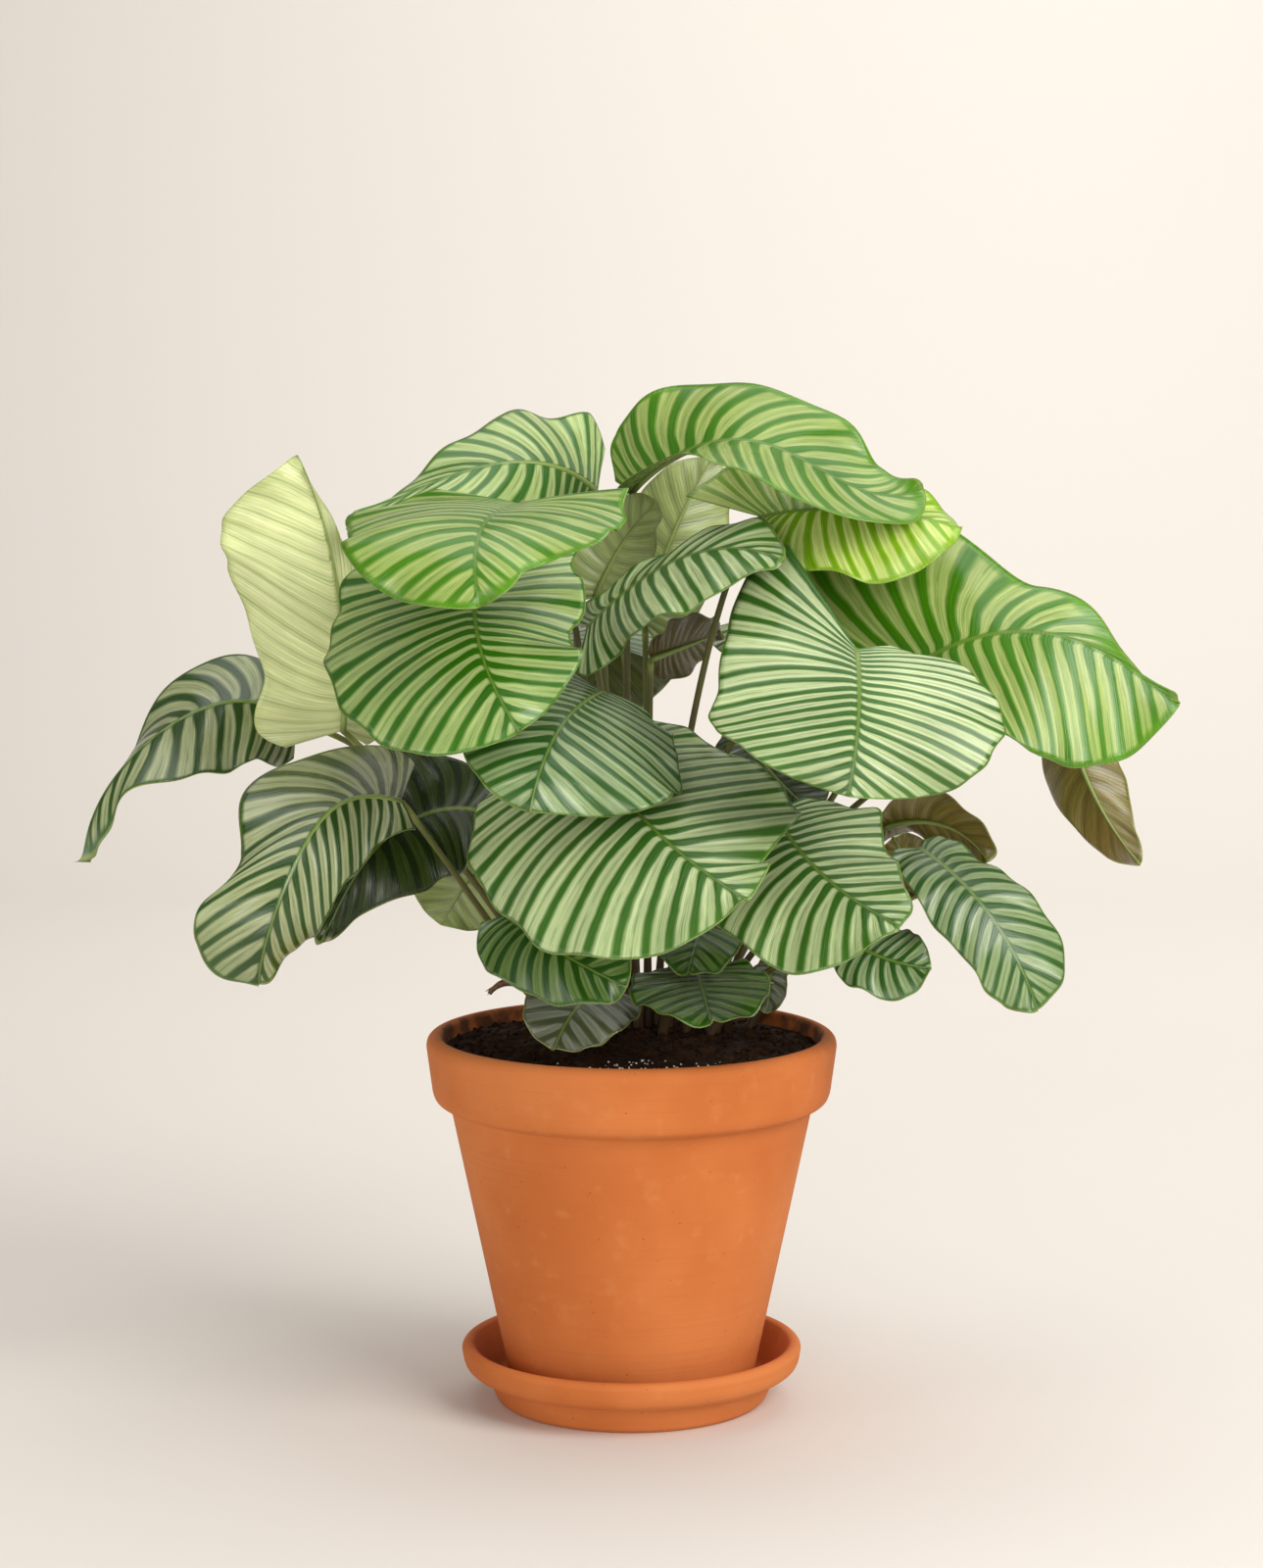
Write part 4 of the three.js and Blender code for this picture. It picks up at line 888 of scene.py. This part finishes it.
def refined(profile):
    """The closed profile with its long stretches cut into shorter ones."""
    made = []
    for a, b in zip(profile, np.roll(profile, -1, axis=0)):
        if a[0] < TINY and b[0] < TINY:
            made.append(a)
            continue
        count = max(1, math.ceil(np.linalg.norm(b - a) / TURNED_STEP))
        made.extend(a + (b - a) * k / count for k in range(count))
    return np.array(made)


def turned_mesh(name, profile, corner, material):
    """A solid turned from a profile against the clock, a little uneven, as clay is."""
    outline = refined(rounded(profile, corner))
    turn = np.linspace(0, 2 * math.pi, TURNED_SIDES, endpoint=False)
    points, rings = [], []
    for r, z in outline:
        start = len(points)
        if r < TINY:
            points.append((0, 0, z))
            rings.append([start] * TURNED_SIDES)
            continue
        r = r * (1 + CLAY_UNEVEN * (np.sin(2 * turn + 0.02 * z) + 0.5 * np.sin(5 * turn + 1 + 0.05 * z)))
        points.extend(zip(r * np.cos(turn), r * np.sin(turn), np.full(TURNED_SIDES, z)))
        rings.append(list(range(start, start + TURNED_SIDES)))
    faces = []
    for ring, below in zip(rings, rings[1:] + rings[:1]):
        if ring[0] == ring[1] and below[0] == below[1]:
            continue
        for j in range(TURNED_SIDES):
            k = (j + 1) % TURNED_SIDES
            faces.append(list(dict.fromkeys([ring[j], ring[k], below[k], below[j]]))[::-1])
    solid = Solid()
    solid.add(points, faces)
    return solid.mesh(name, [material])


def corners(radius, height, offsets):
    """Points of a profile near an edge at this radius and height."""
    return [(radius + outwards, height + up) for outwards, up in offsets]


def body_radius(z):
    """The pot's outer radius, which narrows evenly from under the rim to its bottom."""
    return lerp(POT["bottom"], POT["neck"], (z - POT["foot"]) / (POT["under_rim"] - POT["foot"]))


def inner_radius(z):
    return min(body_radius(z) - POT["wall"], POT["inner"])


def add_pot():
    foot, under, top = POT["foot"], POT["under_rim"], POT["top"]
    floor = foot + POT["floor"]
    profile = [
        (DRAIN, foot), (body_radius(foot) - POT_BEVEL, foot),
        *[(body_radius(z), z) for z in (foot + POT_BEVEL, under - POT_BEVEL)],
        *corners(POT["rim"], under, POT_RIM_LOW), *corners(POT["rim"], top, POT_RIM_TOP),
        *corners(POT["inner"], top, POT_MOUTH), (inner_radius(under), under - POT_SHOULDER),
        (inner_radius(floor), floor), (DRAIN, floor),
    ]
    mesh = turned_mesh("pot_mesh", profile, POT_ROUNDING, clay_look("clay_pot", POT_STAIN_TOP))
    add_piece("clay_pot", mesh, "terracotta", "pot")


def add_saucer():
    base, lip, height, floor = SAUCER["base"], SAUCER["lip"], SAUCER["height"], SAUCER["floor"]
    under = height - SAUCER["lip_height"]
    inner = SAUCER["neck"] - SAUCER["wall"]
    profile = [
        (0, 0), (base - SAUCER_BEVEL, 0), (base, SAUCER_BEVEL), (SAUCER["neck"], under - 1),
        *corners(lip, under, SAUCER_LIP_LOW), *corners(lip, height, SAUCER_LIP_TOP),
        (lip - SAUCER["wall"], height - 5), (inner + 6, floor + 5), (inner, floor), (0, floor),
    ]
    mesh = turned_mesh("saucer_mesh", profile, SAUCER_ROUNDING, clay_look("clay_saucer", SAUCER_STAIN_TOP))
    add_piece("clay_saucer", mesh, "terracotta", "saucer")


def soil_height(x, y):
    """How high the soil lies, mounded and lumpy as in the solids, with finer lumps."""
    radius = np.hypot(x, y)
    share = np.minimum(1, radius / SOIL["edge"])
    inside = np.clip((SOIL["edge"] - radius) / SOIL["calm_edge"], 0, 1)
    lump = np.sin(x * 0.11 + 1) * np.cos(y * 0.13) + 0.6 * np.sin(x * 0.23 - y * 0.19)
    fine = 0.0
    for size, height in FINE_LUMPS:
        along_x = np.sin(x / size + 1.3 * np.sin(y / size * 0.8))
        along_y = np.sin(y / size * 1.1 + 1.7 * np.sin(x / size * 0.7))
        fine = fine + height * (along_x * along_y)
    return SOIL_EDGE + SOIL["mound"] * (1 - share**2) + inside * (SOIL["lumps"] * lump + fine)


def add_soil():
    """The soil, from the pot's floor up."""
    floor = POT["foot"] + POT["floor"] + REST_GAP
    under = POT["under_rim"] - POT_SHOULDER
    sides = SOIL["sides"]
    turn = np.linspace(0, 2 * math.pi, sides, endpoint=False)
    points = []
    for z in (floor, under):
        radius = inner_radius(z) - REST_GAP
        points.append(np.stack([radius * np.cos(turn), radius * np.sin(turn), np.full(sides, z)], -1))
    for share in np.linspace(1, 0.01, SOIL["rings"]):
        x, y = SOIL["edge"] * share * np.cos(turn), SOIL["edge"] * share * np.sin(turn)
        points.append(np.stack([x, y, soil_height(x, y)], -1))
    faces = grid_quads(len(points), sides, closed=True).tolist()
    top_ring = (len(points) - 1) * sides
    faces.append([top_ring + j for j in range(sides)])
    faces.append(list(range(sides))[::-1])
    solid = Solid()
    solid.add(np.concatenate(points), faces)
    add_piece("soil_bed", solid.mesh("soil_mesh", [soil_look()]), "potting_soil", "soil")


GOLDEN = (1 + 5**0.5) / 2
PEBBLE_CORNERS = np.array([
    (-1, GOLDEN, 0), (1, GOLDEN, 0), (-1, -GOLDEN, 0), (1, -GOLDEN, 0), (0, -1, GOLDEN), (0, 1, GOLDEN),
    (0, -1, -GOLDEN), (0, 1, -GOLDEN), (GOLDEN, 0, -1), (GOLDEN, 0, 1), (-GOLDEN, 0, -1), (-GOLDEN, 0, 1),
])
PEBBLE_FACES = [
    (0, 11, 5), (0, 5, 1), (0, 1, 7), (0, 7, 10), (0, 10, 11), (1, 5, 9), (5, 11, 4), (11, 10, 2), (10, 7, 6),
    (7, 1, 8), (3, 9, 4), (3, 4, 2), (3, 2, 6), (3, 6, 8), (3, 8, 9), (4, 9, 5), (2, 4, 11), (6, 2, 10),
    (8, 6, 7), (9, 8, 1),
]
PEBBLE_STRETCH = (0.6, 1.2)


def pebble(size, roughness):
    """A small irregular lump: a twenty-sided solid's corners, pushed in and out, stretched and tilted."""
    pushed = unit(PEBBLE_CORNERS) * (1 + roughness * rng.uniform(-1, 1, (12, 1)))
    lump = pushed * size * rng.uniform(*PEBBLE_STRETCH, 3)
    cosine, *axis = unit(rng.normal(size=4))
    spun = np.cross(axis, lump)
    return lump + 2 * (cosine * spun + np.cross(axis, spun))


def scatter(name, place, material, count, sizes, roughness):
    """Small lumps bedded in the soil."""
    solid = Solid()
    for _ in range(count):
        x, y = place()
        size = rng.uniform(*sizes)
        lump = pebble(size, roughness) + (x, y, float(soil_height(x, y)) + BEDDED * size)
        solid.add(lump, PEBBLE_FACES)
    add_piece(name, solid.mesh(name + "_mesh", [material], False), "potting_soil")


def anywhere():
    radius = LOOSE_EDGE * math.sqrt(rng.uniform())
    turn = rng.uniform(0, 2 * math.pi)
    return radius * math.cos(turn), radius * math.sin(turn)


def near_front():
    """Most white grains lie near the front of the pot."""
    while True:
        x, y = rng.normal(GRAINS_AT, GRAINS_SPREAD)
        if math.hypot(x, y) < LOOSE_EDGE:
            return x, y


def add_broken_stalk():
    """A dry stub whose end is torn into fibres."""
    line = Path(STUB_POINTS)
    distance = np.linspace(0, line.length, STUB["steps"])
    points, _ = line.at(distance)
    share = distance / line.length
    radii = STUB["radius"] * (1 + 0.12 * np.sin(31 * share) - 0.25 * smooth((share - 0.9) / 0.1))
    solid = Solid()
    solid.add(*tube(points, radii, STUB["sides"]))
    end, along = line.at(np.array([line.length - FIBRES["start"]]))
    for _ in range(FIBRES["count"]):
        lean = rng.normal(size=3) * FIBRES["lean"]
        reach = rng.uniform(*FIBRES["reach"])
        fibre = [end[0] + lean * FIBRES["fan"] + unit(along[0] + lean) * reach * t for t in (0, 0.5, 1)]
        solid.add(*tube(fibre, FIBRES["radii"], FIBRES["sides"]))
    add_piece("broken_stub", solid.mesh("stub_mesh", [dry_look()]), "dry_stalk", "broken_stalk")


# Studio

def add_backdrop():
    """A pale floor that curves up into a wall behind."""
    front, back, bend, top, width, steps = STUDIO.values()
    line = [(-front, 0.0)]
    for t in np.linspace(0, math.pi / 2, steps):
        line.append((back - bend + bend * math.sin(t), bend - bend * math.cos(t)))
    line.append((back, top))
    mesh = bpy.data.meshes.new("backdrop_mesh")
    points = [(side * width / 2, y, z) for y, z in line for side in (-1, 1)]
    faces = [(2 * i, 2 * i + 1, 2 * i + 3, 2 * i + 2) for i in range(len(line) - 1)]
    mesh.from_pydata(points, [], faces)
    mesh.polygons.foreach_set("use_smooth", [True] * len(faces))
    mesh.materials.append(paper_look())
    new_object("backdrop", mesh)


def add_light(name, place, target, size, power, colour):
    light = bpy.data.lights.new(name, "AREA")
    light.shape = "RECTANGLE"
    light.size, light.size_y = size
    light.energy = power
    light.color = colour
    lamp = new_object(name, light)
    lamp.location = place
    lamp.rotation_euler = (Vector(target) - Vector(place)).to_track_quat("-Z", "Y").to_euler()


def add_air():
    """Soft light from all round, as pale as the backdrop where it shows past the backdrop's edges."""
    world = bpy.data.worlds.new("studio")
    bpy.context.scene.world = world
    world.use_nodes = True
    nodes, links = world.node_tree.nodes, world.node_tree.links
    air = nodes["Background"]
    air.inputs["Color"].default_value = AIR_COLOUR
    air.inputs["Strength"].default_value = AIR_STRENGTH
    seen = nodes.new("ShaderNodeBackground")
    seen.inputs["Color"].default_value = PAST_BACKDROP
    in_view = nodes.new("ShaderNodeLightPath").outputs["Is Camera Ray"]
    either = nodes.new("ShaderNodeMixShader")
    for source, socket in zip((in_view, air.outputs[0], seen.outputs[0]), either.inputs):
        links.new(source, socket)
    links.new(either.outputs[0], nodes["World Output"].inputs["Surface"])


def add_camera():
    camera = bpy.data.cameras.new("camera")
    camera.lens = CAMERA_LENS
    camera.sensor_fit = "VERTICAL"
    camera.sensor_height = camera.sensor_width = SENSOR
    viewer = new_object("camera", camera)
    viewer.location = CAMERA_PLACE
    viewer.rotation_euler = (math.pi / 2 - CAMERA_PITCH, 0, 0)
    bpy.context.scene.camera = viewer


STALK_LOOK = stalk_look()
LEAF_LOOKS = {name: leaf_look(name, *palette) for name, palette in PALETTES.items()}

add_camera()
add_backdrop()
for light_name, settings in LIGHTS.items():
    add_light(light_name, *settings)
add_air()
bpy.context.scene.view_settings.view_transform = "Standard"
add_pot()
add_saucer()
add_soil()
scatter("soil_crumbs", anywhere, soil_look(), **SOIL_CRUMBS)
scatter("white_grains", near_front, grain_look(), **WHITE_GRAINS)
add_broken_stalk()
for leaf_name, row in LEAVES.items():
    palette, bands = row.get("look", SHADED)
    grid = LARGE_GRID if row["width"] > LARGE_WIDTH else SMALL_GRID
    mesh = leaf_mesh("leaf_" + leaf_name, row, LEAF_LOOKS[palette], bands, *grid)
    add_piece("blade_" + leaf_name, mesh, "leaf", "leaf_" + leaf_name)
